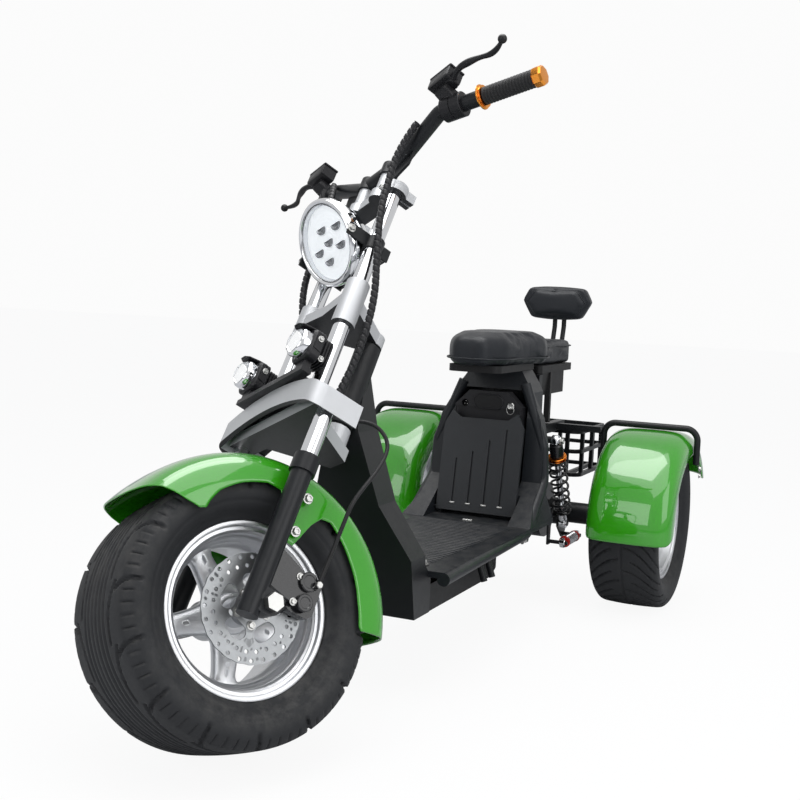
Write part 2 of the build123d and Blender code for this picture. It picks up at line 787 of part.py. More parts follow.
# Spot lamps on a cross bar in front of the tubes, each a finned box behind a domed lens in a ring
for side, sign in sides.items():
    with BuildPart() as spot:
        with BuildSketch(Plane.YZ.offset(fork_ahead + tube_radius + seat_gap)):
            with Locations((sign * spot_side, spot_z)):
                RectangleRounded(spot_size, spot_size, run_gap * 1.6)
        extrude(amount=spot_length * 0.4)
        with BuildSketch(Plane.YZ.offset(fork_ahead + tube_radius + spot_length * 0.35)):
            with Locations((sign * spot_side, spot_z)):
                RectangleRounded(spot_size * 1.24, spot_size * 1.16, run_gap * 2)
        extrude(amount=spot_length * 0.4)
        with BuildSketch(Plane.YZ.offset(fork_ahead + tube_radius + spot_length * 0.7)):
            with Locations((sign * spot_side, spot_z)):
                Circle(spot_lens_radius + run_gap)
        extrude(amount=spot_length * 0.3)
        with BuildSketch(Plane.YZ.offset(fork_ahead + tube_radius + spot_length)):
            with Locations((sign * spot_side, spot_z)):
                Circle(spot_lens_radius)
        extrude(amount=spot_lens_radius * 0.5)
        fillet(spot.faces().sort_by(Axis.X)[-1].edges(), spot_lens_radius * 0.45)
        with BuildSketch(Plane.XY.offset(spot_z - spot_size * 0.58)):
            with Locations((fork_ahead + tube_radius + spot_length * 0.5, sign * spot_side)):
                Rectangle(spot_size * 0.4, spot_size * 0.5)
        extrude(amount=spot_bar_z - run_gap * 0.6 + seat_gap - spot_z + spot_size * 0.58)
    steered["spot_lamp_" + side] = spot.part

with BuildPart() as spot_bar:
    bar_ahead = fork_ahead + tube_radius + spot_length * 0.5
    with Locations((bar_ahead, 0, spot_bar_z - run_gap * 1.6)):
        Box(run_gap * 4, (spot_side + spot_size * 0.4) * 2, run_gap * 2)
    for sign in sides.values():
        with BuildSketch(Plane.XY.offset(spot_bar_z - run_gap * 2.6)):
            with Locations((fork_ahead, sign * tube_spacing)):
                Circle(tube_radius + run_gap)
            with Locations(((fork_ahead + bar_ahead) / 2 + run_gap, sign * tube_spacing)):
                Rectangle(bar_ahead - fork_ahead + run_gap, run_gap * 3)
        extrude(amount=run_gap * 2)
        with BuildSketch(Plane.XY.offset(spot_bar_z - overrun)):
            with Locations((fork_ahead, sign * tube_spacing)):
                Circle(tube_radius + seat_gap)
        extrude(amount=overrun * 2, mode=Mode.SUBTRACT)
steered["spot_bar"] = spot_bar.part

# Front mudguard: a rolled arch about the axle, with a tongue down the side of each leg
with BuildPart() as front_mudguard:
    with BuildSketch(Plane.XY) as guard_section:
        with BuildLine():
            outer = ThreePointArc(
                (axle_ahead + guard_inner_radius - guard_crown_rise, -guard_half_width),
                (axle_ahead + guard_inner_radius + guard_crown_rise + guard_sheet, 0),
                (axle_ahead + guard_inner_radius - guard_crown_rise, guard_half_width),
            )
            inner = ThreePointArc(
                (axle_ahead + guard_inner_radius - guard_crown_rise, guard_half_width - guard_sheet),
                (axle_ahead + guard_inner_radius + guard_crown_rise, 0),
                (axle_ahead + guard_inner_radius - guard_crown_rise, -guard_half_width + guard_sheet),
            )
            Line(outer @ 1, inner @ 0)
            Line(inner @ 1, outer @ 0)
        make_face()
    revolve(
        axis=Axis((axle_ahead, 0, 0), (0, -1, 0)),
        revolution_arc=guard_rear_angle,
    )
    cut_angle = radians(guard_front_angle)
    reach = guard_inner_radius * 2
    with BuildSketch(Plane.XZ.offset(-reach)):
        with BuildLine():
            Polyline(
                (axle_ahead, 0),
                (axle_ahead + reach, -overrun),
                (axle_ahead + reach, reach * sin(cut_angle) / cos(cut_angle)),
                close=True,
            )
        make_face()
    extrude(amount=reach * 2, mode=Mode.SUBTRACT)
    for sign in sides.values():
        with BuildSketch(Plane.XZ.offset(-sign * (guard_half_width - guard_sheet / 2) - guard_sheet / 2)):
            with BuildLine():
                Polyline(
                    (fork_ahead - tongue_width, guard_inner_radius - guard_crown_rise * 0.6),
                    (fork_ahead + tongue_width * 0.3, guard_inner_radius - guard_crown_rise * 0.4),
                    (fork_ahead + tongue_width * 0.1, tongue_width * 2),
                    (fork_ahead - tongue_width * 0.6, tongue_width * 2),
                    close=True,
                )
            make_face()
        extrude(amount=guard_sheet)
        for boss_share in (2.2, 3.3):
            with Locations(Plane(
                origin=(fork_ahead - tongue_width * 0.15, sign * guard_half_width, tongue_width * boss_share),
                z_dir=(0, sign, 0),
            )):
                Cylinder(
                    run_gap * 1.4,
                    leg_spacing - leg_radius - guard_half_width - seat_gap,
                    align=(Align.CENTER, Align.CENTER, Align.MIN),
                )
steered["front_mudguard"] = front_mudguard.part

# Two-piece brake caliper behind the left leg, open over the disc, on a bracket bolted to the leg
caliper_face = disc_side + caliper_depth * 0.77
bracket_face = leg_spacing - leg_radius - seat_gap
with BuildPart() as caliper:
    with BuildSketch(Plane.XZ.offset(-caliper_face)):
        with Locations((caliper_ahead, caliper_z)):
            RectangleRounded(caliper_height, caliper_length, caliper_height * 0.25)
    extrude(amount=caliper_depth)
    with BuildSketch(Plane.XZ.offset(-disc_side - disc_thickness)):
        with Locations((axle_ahead, 0)):
            Circle(disc_radius + run_gap * 0.6)
    extrude(amount=disc_thickness * 2, mode=Mode.SUBTRACT)
    with BuildSketch(Plane.XZ.offset(-bracket_face)):
        with BuildLine():
            Polyline(
                (fork_ahead, caliper_z + caliper_length * 0.9),
                (fork_ahead, caliper_z - caliper_length * 0.1),
                (caliper_ahead, caliper_z - caliper_length * 0.4),
                (caliper_ahead, caliper_z + caliper_length * 0.4),
                close=True,
            )
        make_face()
    extrude(amount=bracket_face - caliper_face + run_gap * 0.4)
    with Locations(Plane(
        origin=(caliper_ahead - caliper_height * 0.2, caliper_face, caliper_z + caliper_length * 0.3),
        z_dir=(0, 1, 0),
    )):
        Cylinder(run_gap * 1.4, run_gap * 2.4, align=(Align.CENTER, Align.CENTER, Align.MIN))
steered["brake_caliper"] = caliper.part

# Cables that the steering holds, as straight runs with tangent arcs
cable_rows = {
    "brake_hose": (hose_radius, [
        (
            caliper_ahead - caliper_height * 0.2,
            caliper_face + run_gap * 2.4 + hose_radius + seat_gap,
            caliper_z + caliper_length * 0.3,
        ),
        (0, 148, 130),
        (4, 160, 175),
        (8, 172, 215),
        (-22, 172, 300),
        (-22, 166, 350),
        (20, 150, 372),
        (46, 128, 356),
    ]),
    "loom_left": (loom_radius, [
        (138.6, 150, 978),
        (142, 118, 925),
        (132, 108, 850),
        (122, 109, 770),
        (98, 110, 690),
        (74, 109, 620),
        (60, 98, 550),
        (54, 84, 470),
        (60, 73, 397.4),
    ]),
    "loom_right": (loom_radius, [
        (138.6, -150, 978),
        (144, -117, 925),
        (136, -109, 850),
        (132, -112, 770),
        (126, -112, 690),
        (99, -109.4, 620),
        (84, -112, 540),
        (74, -113, 460),
        (70, -112, 391),
    ]),
}
for cable_name, (cable_radius, route) in cable_rows.items():
    points = [Vector(*place) for place in route]
    corner_radii = []
    for before, here, after in zip(points, points[1:], points[2:]):
        first_run = here - before
        next_run = after - here
        half_turn = radians(first_run.get_angle(next_run)) / 2
        shorter = min(first_run.length, next_run.length)
        corner_radii.append(shorter * 0.45 / max(sin(half_turn) / cos(half_turn), 0.01))
    print(cable_name, [round(radius) for radius in corner_radii])
    with BuildPart() as cable:
        with BuildLine():
            wire = FilletPolyline(*points, radius=corner_radii)
        with BuildSketch(Plane(origin=wire @ 0, z_dir=wire % 0)):
            Circle(cable_radius)
        sweep()
    steered[cable_name] = cable.part

# Frame: a pressed neck that widens down to the floor, the steering head, and a ladder of rails under the floor
# that turns up behind the seat tower and runs back to the basket
rail_top = floor_z - floor_sheet - seat_gap
rail_mid = rail_top - rail_size / 2
seat_rail_z = basket_top + seat_gap
neck_rows = [
    (neck_top_half, neck_top_z),
    (neck_top_half * 1.8, neck_waist_z),
    (neck_mid_half, neck_mid_z),
    (neck_low_half, neck_low_z),
    (neck_low_half, neck_bottom_z),
]
with BuildPart() as main_frame:
    with BuildSketch(Plane.YZ.offset(rear_axle_x)):
        with BuildLine():
            Polyline(
                *[(-half, height) for half, height in neck_rows],
                *[(half, height) for half, height in reversed(neck_rows)],
                close=True,
            )
        make_face()
    extrude(amount=wheel_base)
    with BuildSketch(Plane.XZ.offset(-floor_half_width)):
        with BuildLine():
            Polyline(
                (rear_axle_x + neck_rear_top_x, neck_top_z),
                (rear_axle_x + floor_front + roll_radius, floor_z + roll_radius),
                (rear_axle_x + floor_front + seat_gap, floor_z),
                (rear_axle_x + floor_front + seat_gap, rail_top),
                (rear_axle_x + pan_front + run_gap, rail_top),
                (rear_axle_x + pan_front + run_gap, neck_bottom_z),
                (rear_axle_x + neck_front_low_x, neck_bottom_z),
                (rear_axle_x + neck_front_mid_x, neck_front_mid_z),
                (rear_axle_x + neck_front_top_x, neck_front_high_z),
                (rear_axle_x + neck_rear_top_x + head_tube_radius, neck_top_z - head_tube_radius),
                close=True,
            )
        make_face()
    extrude(amount=floor_half_width * 2, mode=Mode.INTERSECT)
    for sign in sides.values():
        with BuildSketch(Plane.XZ.offset(-sign * rail_side - rail_width / 2)):
            with BuildLine():
                Polyline(
                    (rear_axle_x + floor_front + rail_size, rail_top),
                    (rear_axle_x + floor_front + rail_size, rail_top - rail_size),
                    (rear_axle_x + strut_x - rail_size / 2, rail_top - rail_size),
                    (rear_axle_x + strut_x - rail_size / 2, seat_rail_z),
                    (rear_axle_x + seat_rail_rear, seat_rail_z),
                    (rear_axle_x + seat_rail_rear, seat_rail_z + seat_rail_height),
                    (rear_axle_x + strut_x - rail_size / 2, seat_rail_z + seat_rail_height),
                    (rear_axle_x + strut_x - rail_size / 2, pillion_tray_z - seat_gap),
                    (rear_axle_x + strut_x + rail_size * 0.3, pillion_tray_z - seat_gap),
                    (rear_axle_x + strut_x + rail_size * 0.3, rail_top),
                    close=True,
                )
            make_face()
        extrude(amount=rail_width)
    for cross_x, cross_z in (
        (arm_pivot_x, rail_mid),
        (pan_front - rail_size, rail_mid),
        (strut_x - rail_size * 0.2, seat_rail_z + seat_rail_height / 2),
        (shock_low_x, seat_rail_z + seat_rail_height / 2),
    ):
        with BuildSketch(Plane.XZ.offset(-rail_side)):
            with Locations((rear_axle_x + cross_x, cross_z)):
                Rectangle(rail_width, rail_width)
        extrude(amount=rail_side * 2)
    with BuildSketch(Plane.XZ.offset(-hoop_inner_y + hoop_radius + seat_gap)):
        with Locations((rear_axle_x, seat_rail_z + seat_rail_height / 2)):
            Rectangle(rail_width, rail_width * 0.8)
    extrude(amount=(hoop_inner_y - hoop_radius - seat_gap) * 2)
    with BuildSketch(Plane.XZ.offset(-arm_side - arm_radius)):
        with Locations((rear_axle_x + arm_pivot_x, rail_mid)):
            Circle(pin_radius)
    extrude(amount=(arm_side + arm_radius) * 2)
    with BuildSketch(Plane.XZ.offset(-shock_side - pin_radius * 1.8)):
        with Locations((rear_axle_x + shock_top_x, shock_top_z)):
            Circle(pin_radius)
    extrude(amount=(shock_side + pin_radius * 1.8) * 2)
    for sign in sides.values():
        with BuildSketch(Plane.XZ.offset(-sign * damper_plate_side - damper_plate / 2)):
            with BuildLine():
                Polyline(
                    (rear_axle_x + damper_front_x - pin_radius * 1.5, rail_top + rail_size * 0.45),
                    (rear_axle_x + damper_front_x + pin_radius * 1.5, rail_top + rail_size * 0.45),
                    (rear_axle_x + damper_front_x + pin_radius, damper_z - pin_radius),
                    (rear_axle_x + damper_front_x - pin_radius, damper_z - pin_radius),
                    close=True,
                )
            make_face()
        extrude(amount=damper_plate)
        with BuildSketch(Plane.XZ.offset(
            -sign * (rail_side + damper_plate_side) / 2 - (damper_plate_side - rail_side) / 2
        )):
            with Locations((rear_axle_x + (damper_front_x + strut_x) / 2, rail_top + rail_size * 0.25)):
                Rectangle(strut_x - damper_front_x + pin_radius * 2, rail_size * 0.4)
        extrude(amount=damper_plate_side - rail_side)
        with BuildSketch(Plane.XZ.offset(-sign * damper_plate_side)):
            with Locations((rear_axle_x + damper_front_x, damper_z)):
                Circle(pin_radius * 0.6)
        extrude(amount=-sign * (damper_side + pin_radius * 1.5 - damper_plate_side))
    with Locations(head_plane.offset(head_bottom)):
        Cylinder(
            head_tube_radius, head_top - head_bottom, align=(Align.CENTER, Align.CENTER, Align.MIN)
        )
    with Locations(head_plane.offset(head_bottom - overrun * 3)):
        Cylinder(
            head_tube_bore,
            head_top - head_bottom + overrun * 4,
            align=(Align.CENTER, Align.CENTER, Align.MIN),
            mode=Mode.SUBTRACT,
        )
        Cylinder(
            yoke_core + run_gap,
            overrun * 3,
            align=(Align.CENTER, Align.CENTER, Align.MIN),
            mode=Mode.SUBTRACT,
        )
fixed["main_frame"] = main_frame.part

# Battery pan: an open sheet tray hung under the rails
pan_top = rail_top - rail_size - seat_gap
with BuildPart() as battery_pan:
    with BuildSketch(Plane.XZ.offset(-pan_half_width)):
        with BuildLine():
            Polyline(
                (rear_axle_x + pan_rear, pan_top),
                (rear_axle_x + pan_front, pan_top),
                (rear_axle_x + pan_front, pan_bottom),
                (rear_axle_x + pan_rear + rail_size, pan_bottom),
                (rear_axle_x + pan_rear, pan_bottom + rail_size * 0.5),
                close=True,
            )
        make_face()
    extrude(amount=pan_half_width * 2)
fixed["battery_pan"] = battery_pan.part

# Moulded floor and seat tower in one piece, with a rolled edge along the floor and up both sides of the tower
tower_rows = [
    (floor_half_width, floor_z - floor_sheet),
    (floor_half_width, floor_z),
    (tower_wide_half, floor_z + roll_radius * 4),
    (tower_wide_half, tower_wide_z),
    (tower_wide_half * 0.9, tower_bend_z),
    (tower_top_half * 1.3, tower_neck_z),
    (tower_top_half, tower_top),
]
door_base = Plane(
    origin=(rear_axle_x + door_x, 0, door_bottom),
    x_dir=(0, 1, 0),
    z_dir=(cos(radians(door_lean)), 0, sin(radians(door_lean))),
)
door_height = (door_top - door_bottom) / cos(radians(door_lean))
hinge_at = door_base.origin + door_base.y_dir * hinge_up + door_base.z_dir * (door_thickness / 2)
with BuildPart() as body_shell:
    with BuildSketch(Plane.XZ.offset(-floor_half_width)):
        with BuildLine():
            Polyline(
                (rear_axle_x + floor_front, floor_z),
                (rear_axle_x + floor_front, floor_z - floor_sheet),
                (rear_axle_x + tower_back, floor_z - floor_sheet),
                (rear_axle_x + tower_back, tower_top),
                (rear_axle_x + tower_front - wing_depth * 0.8, tower_top),
                (rear_axle_x + tower_front - tower_wall, tower_bend_z),
                (rear_axle_x + tower_front + tower_wall, tower_toe_z),
                (rear_axle_x + floor_rear - roll_radius * 2, floor_z + roll_radius * 2),
                (rear_axle_x + floor_rear + roll_radius, floor_z),
                close=True,
            )
        make_face()
    extrude(amount=floor_half_width * 2)
    with BuildSketch(Plane.YZ.offset(rear_axle_x)):
        with BuildLine():
            Polyline(
                *[(-half, height) for half, height in tower_rows],
                *[(half, height) for half, height in reversed(tower_rows)],
                close=True,
            )
        make_face()
    extrude(amount=wheel_base, mode=Mode.INTERSECT)
    for sign in sides.values():
        with BuildSketch(Plane.XY.offset(floor_z - floor_sheet)):
            with Locations((
                rear_axle_x + (tower_back + tower_front - wing_depth) / 2,
                sign * (battery_half_width + tower_wall * 1.5 + floor_half_width / 2),
            )):
                Rectangle(tower_front - wing_depth - tower_back, floor_half_width)
        extrude(amount=tower_top, mode=Mode.SUBTRACT)
    with BuildSketch(Plane.XY.offset(floor_z)):
        with Locations((rear_axle_x + (tower_back + tower_wall + floor_rear + roll_radius) / 2, 0)):
            Rectangle(floor_rear + roll_radius - tower_back - tower_wall, (battery_half_width + tower_wall) * 2)
    extrude(amount=fascia_top - floor_z + run_gap, mode=Mode.SUBTRACT)
    for sign in sides.values():
        with BuildLine():
            roll = FilletPolyline(
                (rear_axle_x + floor_front, sign * floor_half_width, floor_z - roll_radius),
                (rear_axle_x + floor_rear, sign * (floor_half_width - roll_radius), floor_z - roll_radius),
                (rear_axle_x + tower_front - roll_radius, sign * tower_wide_half, tower_toe_z),
                (rear_axle_x + tower_front - roll_radius, sign * tower_wide_half * 0.96, tower_wide_z),
                (rear_axle_x + tower_front - roll_radius * 2, sign * tower_top_half * 1.2, tower_neck_z),
                radius=roll_radius * 3,
            )
        with BuildSketch(Plane(origin=roll @ 0, z_dir=roll % 0)):
            Circle(roll_radius)
        sweep()
    with BuildSketch(Plane.XZ.offset(-door_half_width - run_gap)):
        with BuildLine():
            Polyline(
                (rear_axle_x + door_x - run_gap, floor_z),
                (rear_axle_x + door_x - run_gap - door_rise_x, door_top + run_gap),
                (rear_axle_x + floor_rear + overrun * 2, door_top + run_gap),
                (rear_axle_x + floor_rear + overrun * 2, floor_z),
                close=True,
            )
        make_face()
    extrude(amount=(door_half_width + run_gap) * 2, mode=Mode.SUBTRACT)
    for sign in sides.values():
        with BuildSketch(Plane.XZ.offset(-sign * (door_half_width - hinge_pin_length))):
            with Locations((hinge_at.X, hinge_at.Z)):
                Circle(hinge_pin_radius)
        extrude(amount=-sign * (hinge_pin_length + run_gap * 2))
fixed["body_shell"] = body_shell.part

# Battery: a block in the tower whose upper face shows above the door, with a handle recess and a charge socket
battery_front = tower_back + tower_wall * 2 + battery_depth
with BuildPart() as battery:
    with Locations((rear_axle_x + battery_front, 0, floor_z + seat_gap)):
        Box(
            battery_depth,
            battery_half_width * 2,
            battery_height,
            align=(Align.MAX, Align.CENTER, Align.MIN),
        )
    with BuildSketch(Plane.YZ.offset(rear_axle_x + battery_front - tower_wall * 3)):
        with BuildLine():
            Polyline(
                (-battery_half_width, door_top + run_gap * 2),
                (-battery_half_width, floor_z + battery_height),
                (-fascia_half_width, fascia_top),
                (fascia_half_width, fascia_top),
                (battery_half_width, floor_z + battery_height),
                (battery_half_width, door_top + run_gap * 2),
                close=True,
            )
        make_face()
    extrude(amount=tower_wall * 4)
    with BuildSketch(Plane.YZ.offset(rear_axle_x + battery_front + tower_wall)):
        with Locations((0, (fascia_top + door_top) / 2)):
            RegularPolygon(handle_radius, 6)
        with Locations((-battery_half_width * 0.7, door_top + handle_radius)):
            Circle(lock_radius)
    extrude(amount=-tower_wall * 2, mode=Mode.SUBTRACT)
    with BuildSketch(Plane.YZ.offset(rear_axle_x + battery_front + tower_wall)):
        with Locations((battery_half_width * 0.7, door_top + handle_radius)):
            Circle(lock_radius)
    extrude(amount=run_gap / 2)
fixed["battery_pack"] = battery.part

# Door over the battery, hinged along its lower outer edge, with four pressed grooves of rising length
groove_top_shares = {-0.6: 0.52, -0.2: 0.6, 0.2: 0.72, 0.6: 0.84}
groove_foot_share = 0.08
with BuildPart() as door:
    with BuildSketch(door_base):
        with BuildLine():
            Polyline(
                (-door_half_width, 0),
                (door_half_width, 0),
                (door_half_width, door_height * 0.86),
                (door_half_width * 0.82, door_height),
                (door_half_width * 0.6, door_height * 0.93),
                (-door_half_width * 0.6, door_height * 0.93),
                (-door_half_width * 0.82, door_height),
                (-door_half_width, door_height * 0.86),
                close=True,
            )
        make_face()
    extrude(amount=door_thickness)
    with BuildSketch(door_base.offset(door_thickness * 0.6)):
        for side_share, top_share in groove_top_shares.items():
            with Locations((side_share * door_half_width, door_height * (groove_foot_share + top_share) / 2)):
                Rectangle(door_thickness * 0.5, door_height * (top_share - groove_foot_share))
    extrude(amount=door_thickness, mode=Mode.SUBTRACT)
    for sign in sides.values():
        with BuildSketch(Plane.XZ.offset(-sign * (door_half_width - hinge_pin_length - seat_gap))):
            with Locations((hinge_at.X, hinge_at.Z)):
                Circle(hinge_pin_radius + seat_gap)
        extrude(amount=-sign * overrun, mode=Mode.SUBTRACT)
fixed["battery_door"] = door.part

# Saddle on its pan, and the small second seat on a tray and a box behind it
with BuildPart() as saddle:
    with BuildSketch(Plane.XY.offset(saddle_bottom)) as saddle_plan:
        with BuildLine():
            Polyline(
                (rear_axle_x + saddle_rear, -saddle_half_width * 0.8),
                (rear_axle_x + saddle_rear, saddle_half_width * 0.8),
                (rear_axle_x + saddle_rear + saddle_half_width * 0.7, saddle_half_width),
                (rear_axle_x + saddle_front - saddle_half_width * 0.6, saddle_nose_half),
                (rear_axle_x + saddle_front, saddle_nose_half * 0.5),
                (rear_axle_x + saddle_front, -saddle_nose_half * 0.5),
                (rear_axle_x + saddle_front - saddle_half_width * 0.6, -saddle_nose_half),
                (rear_axle_x + saddle_rear + saddle_half_width * 0.7, -saddle_half_width),
                close=True,
            )
        make_face()
        fillet(saddle_plan.vertices(), saddle_half_width * 0.24)
    extrude(amount=saddle_top - saddle_bottom)
    fillet(saddle.faces().sort_by(Axis.Z)[-1].edges(), (saddle_top - saddle_bottom) * 0.34)
fixed["saddle"] = saddle.part

with BuildPart() as saddle_pan:
    with BuildSketch(Plane.XY.offset(tower_top + seat_gap)):
        with Locations((rear_axle_x + (saddle_front + saddle_rear) / 2, 0)):
            RectangleRounded(
                (saddle_front - saddle_rear) * 0.78, saddle_nose_half * 1.7, saddle_nose_half * 0.3
            )
    extrude(amount=saddle_bottom - tower_top - seat_gap * 2)
fixed["saddle_pan"] = saddle_pan.part

stay_foot_z = seat_rail_z + seat_rail_height / 2 + rail_width / 2 + post_radius * 0.9
with BuildPart() as rear_box:
    with BuildSketch(Plane.XY.offset(pillion_tray_z)):
        with Locations((rear_axle_x + (pillion_front + pillion_rear) / 2, 0)):
            RectangleRounded(pillion_front - pillion_rear, pillion_half_width * 2, roll_radius)
    extrude(amount=pillion_pad_z - pillion_tray_z - seat_gap)
    with BuildSketch(Plane.XY.offset(box_bottom)):
        with Locations((rear_axle_x + (box_front + box_rear) / 2, 0)):
            RectangleRounded(box_front - box_rear, pillion_half_width * 1.9, roll_radius)
    extrude(amount=pillion_tray_z - box_bottom)
    with BuildSketch(Plane.XY.offset(pillion_tray_z)):
        with Locations((rear_axle_x + (pillion_front + saddle_rear + overrun * 2) / 2, 0)):
            Rectangle(saddle_rear - pillion_front + overrun * 3, pillion_half_width)
    extrude(amount=tower_top - pillion_tray_z)
    for sign in sides.values():
        with BuildLine():
            Line(
                (rear_axle_x + stay_top_x, sign * (pillion_half_width - post_radius), pillion_tray_z),
                (rear_axle_x + shock_low_x, sign * (pillion_half_width + post_radius), stay_foot_z),
            )
        with BuildSketch(Plane(
            origin=(rear_axle_x + stay_top_x, sign * (pillion_half_width - post_radius), pillion_tray_z),
            z_dir=(shock_low_x - stay_top_x, sign * post_radius * 2, stay_foot_z - pillion_tray_z),
        )):
            Rectangle(post_radius * 2.2, post_radius * 2.2)
        sweep()
fixed["rear_box"] = rear_box.part

with BuildPart() as pillion_pad:
    with BuildSketch(Plane.XY.offset(pillion_pad_z)):
        with Locations((rear_axle_x + (pillion_front + pillion_rear) / 2, 0)):
            RectangleRounded(pillion_front - pillion_rear - run_gap, pillion_half_width * 2 - run_gap, roll_radius)
    extrude(amount=pillion_top - pillion_pad_z)
    fillet(pillion_pad.faces().sort_by(Axis.Z)[-1].edges(), roll_radius * 0.6)
fixed["pillion_pad"] = pillion_pad.part

with BuildPart() as back_posts:
    for sign in sides.values():
        with BuildLine():
            post = FilletPolyline(
                (rear_axle_x + pillion_rear + run_gap, sign * post_spacing, pillion_tray_z - post_radius - seat_gap),
                (rear_axle_x + pillion_rear - rail_size, sign * post_spacing, pillion_tray_z - post_radius - seat_gap),
                (rear_axle_x + back_x - seat_gap - post_radius, sign * post_spacing, back_low - overrun),
                (rear_axle_x + back_x - seat_gap - post_radius, sign * post_spacing, back_low + overrun),
                radius=post_radius * 2.5,
            )
        with BuildSketch(Plane(origin=post @ 0, z_dir=post % 0)):
            Circle(post_radius)
        sweep()
    with Locations((rear_axle_x + pillion_rear + overrun, 0, pillion_tray_z - post_radius - seat_gap)):
        Box(rail_size, post_spacing * 4, post_radius * 2)
    with Locations((rear_axle_x + back_x - seat_gap - run_gap / 2, 0, back_low + overrun * 1.6)):
        Box(run_gap, post_spacing * 4, overrun * 2)
fixed["back_posts"] = back_posts.part

with BuildPart() as back_pad:
    with BuildSketch(Plane.YZ.offset(rear_axle_x + back_x)) as pad_outline:
        with BuildLine():
            Polyline(
                (-back_half_width * 0.72, back_low),
                (back_half_width * 0.72, back_low),
                (back_half_width, (back_low + back_high) / 2 + overrun * 0.3),
                (back_half_width * 0.8, back_high),
                (-back_half_width * 0.8, back_high),
                (-back_half_width, (back_low + back_high) / 2 + overrun * 0.3),
                close=True,
            )
        make_face()
        fillet(pad_outline.vertices(), roll_radius)
    extrude(amount=back_thickness)
    fillet(back_pad.faces().sort_by(Axis.X)[-1].edges(), roll_radius * 0.7)
fixed["back_pad"] = back_pad.part

# Rear axle with the drive motor in its middle, and a lug each side for the shock and the damper
with BuildPart() as rear_axle:
    with BuildSketch(Plane.XZ.offset(-rear_track / 2 + rear_tyre_width * 0.42)):
        with Locations((rear_axle_x, rear_tyre_dia / 2)):
            Circle(axle_tube_radius)
    extrude(amount=rear_track - rear_tyre_width * 0.84)
    with BuildSketch(Plane.XZ.offset(-motor_half_width)):
        with Locations((rear_axle_x, rear_tyre_dia / 2)):
            Circle(motor_radius)
    extrude(amount=motor_half_width * 2)
    with BuildSketch(Plane.XZ.offset(-rear_track / 2 - rear_rim_width * 0.5 - nut_height)):
        with Locations((rear_axle_x, rear_tyre_dia / 2)):
            Circle(front_axle_radius)
    extrude(amount=rear_track + rear_rim_width + nut_height * 2)
    for sign in sides.values():
        with BuildSketch(Plane.XZ.offset(-sign * damper_plate_side - damper_plate / 2)):
            with BuildLine():
                Polyline(
                    (rear_axle_x - axle_tube_radius * 0.9, rear_tyre_dia / 2),
                    (rear_axle_x, rear_tyre_dia / 2 + axle_tube_radius * 1.1),
                    (rear_axle_x + shock_low_x + pin_radius, shock_low_z + pin_radius * 1.2),
                    (rear_axle_x + shock_low_x + pin_radius, shock_low_z - pin_radius * 1.2),
                    (rear_axle_x + damper_rear_x + pin_radius, damper_z - pin_radius),
                    (rear_axle_x + damper_rear_x - pin_radius, damper_z - pin_radius),
                    close=True,
                )
            make_face()
        extrude(amount=damper_plate)
        for pin_x, pin_z, pin_end, pin_share in (
            (shock_low_x, shock_low_z, shock_side, 0.9), (damper_rear_x, damper_z, damper_side, 0.6),
        ):
            with BuildSketch(Plane.XZ.offset(-sign * damper_plate_side)):
                with Locations((rear_axle_x + pin_x, pin_z)):
                    Circle(pin_radius * pin_share)
            extrude(amount=-sign * (pin_end + pin_radius * 1.5 - damper_plate_side))
        with BuildSketch(Plane.XZ.offset(-sign * (rear_track / 2 + rear_rim_width * 0.4 + run_gap))):
            with Locations((rear_axle_x, rear_tyre_dia / 2)):
                RegularPolygon(nut_radius, 6)
        extrude(amount=-sign * nut_height)
fixed["rear_axle"] = rear_axle.part

# Two arms with a cross tube, from the pins under the floor to clamps on the axle tube
with BuildPart() as swing_arm:
    for sign in sides.values():
        arm_start = Vector(rear_axle_x + arm_pivot_x, sign * arm_side, rail_mid)
        arm_end = Vector(rear_axle_x, sign * arm_rear_side, rear_tyre_dia / 2)
        with BuildLine():
            Line(tuple(arm_start), tuple(arm_end))
        with BuildSketch(Plane(origin=tuple(arm_start), z_dir=tuple(arm_end - arm_start))):
            Circle(arm_radius * 0.85)
        sweep()
        with BuildSketch(Plane.XZ.offset(-sign * arm_side - arm_radius)):
            with Locations((rear_axle_x + arm_pivot_x, rail_mid)):
                Circle(arm_radius * 1.1)
        extrude(amount=arm_radius * 2)
        with BuildSketch(Plane.XZ.offset(-sign * arm_rear_side - arm_radius)):
            with Locations((rear_axle_x, rear_tyre_dia / 2)):
                Circle(axle_tube_radius + arm_radius * 0.6)
        extrude(amount=arm_radius * 2)
    with BuildSketch(Plane.XZ.offset(-arm_rear_side)):
        with Locations((rear_axle_x + arm_cross_x, (rail_mid + rear_tyre_dia / 2) / 2)):
            Circle(arm_radius * 0.7)
    extrude(amount=arm_rear_side * 2)
    for bore_x, bore_z, bore_radius, bore_half in (
        (arm_pivot_x, rail_mid, pin_radius + seat_gap, arm_side + arm_radius + overrun),
        (0, rear_tyre_dia / 2, axle_tube_radius + seat_gap, arm_side + arm_radius),
    ):
        with BuildSketch(Plane.XZ.offset(-bore_half)):
            with Locations((rear_axle_x + bore_x, bore_z)):
                Circle(bore_radius)
        extrude(amount=bore_half * 2, mode=Mode.SUBTRACT)
fixed["swing_arm"] = swing_arm.part

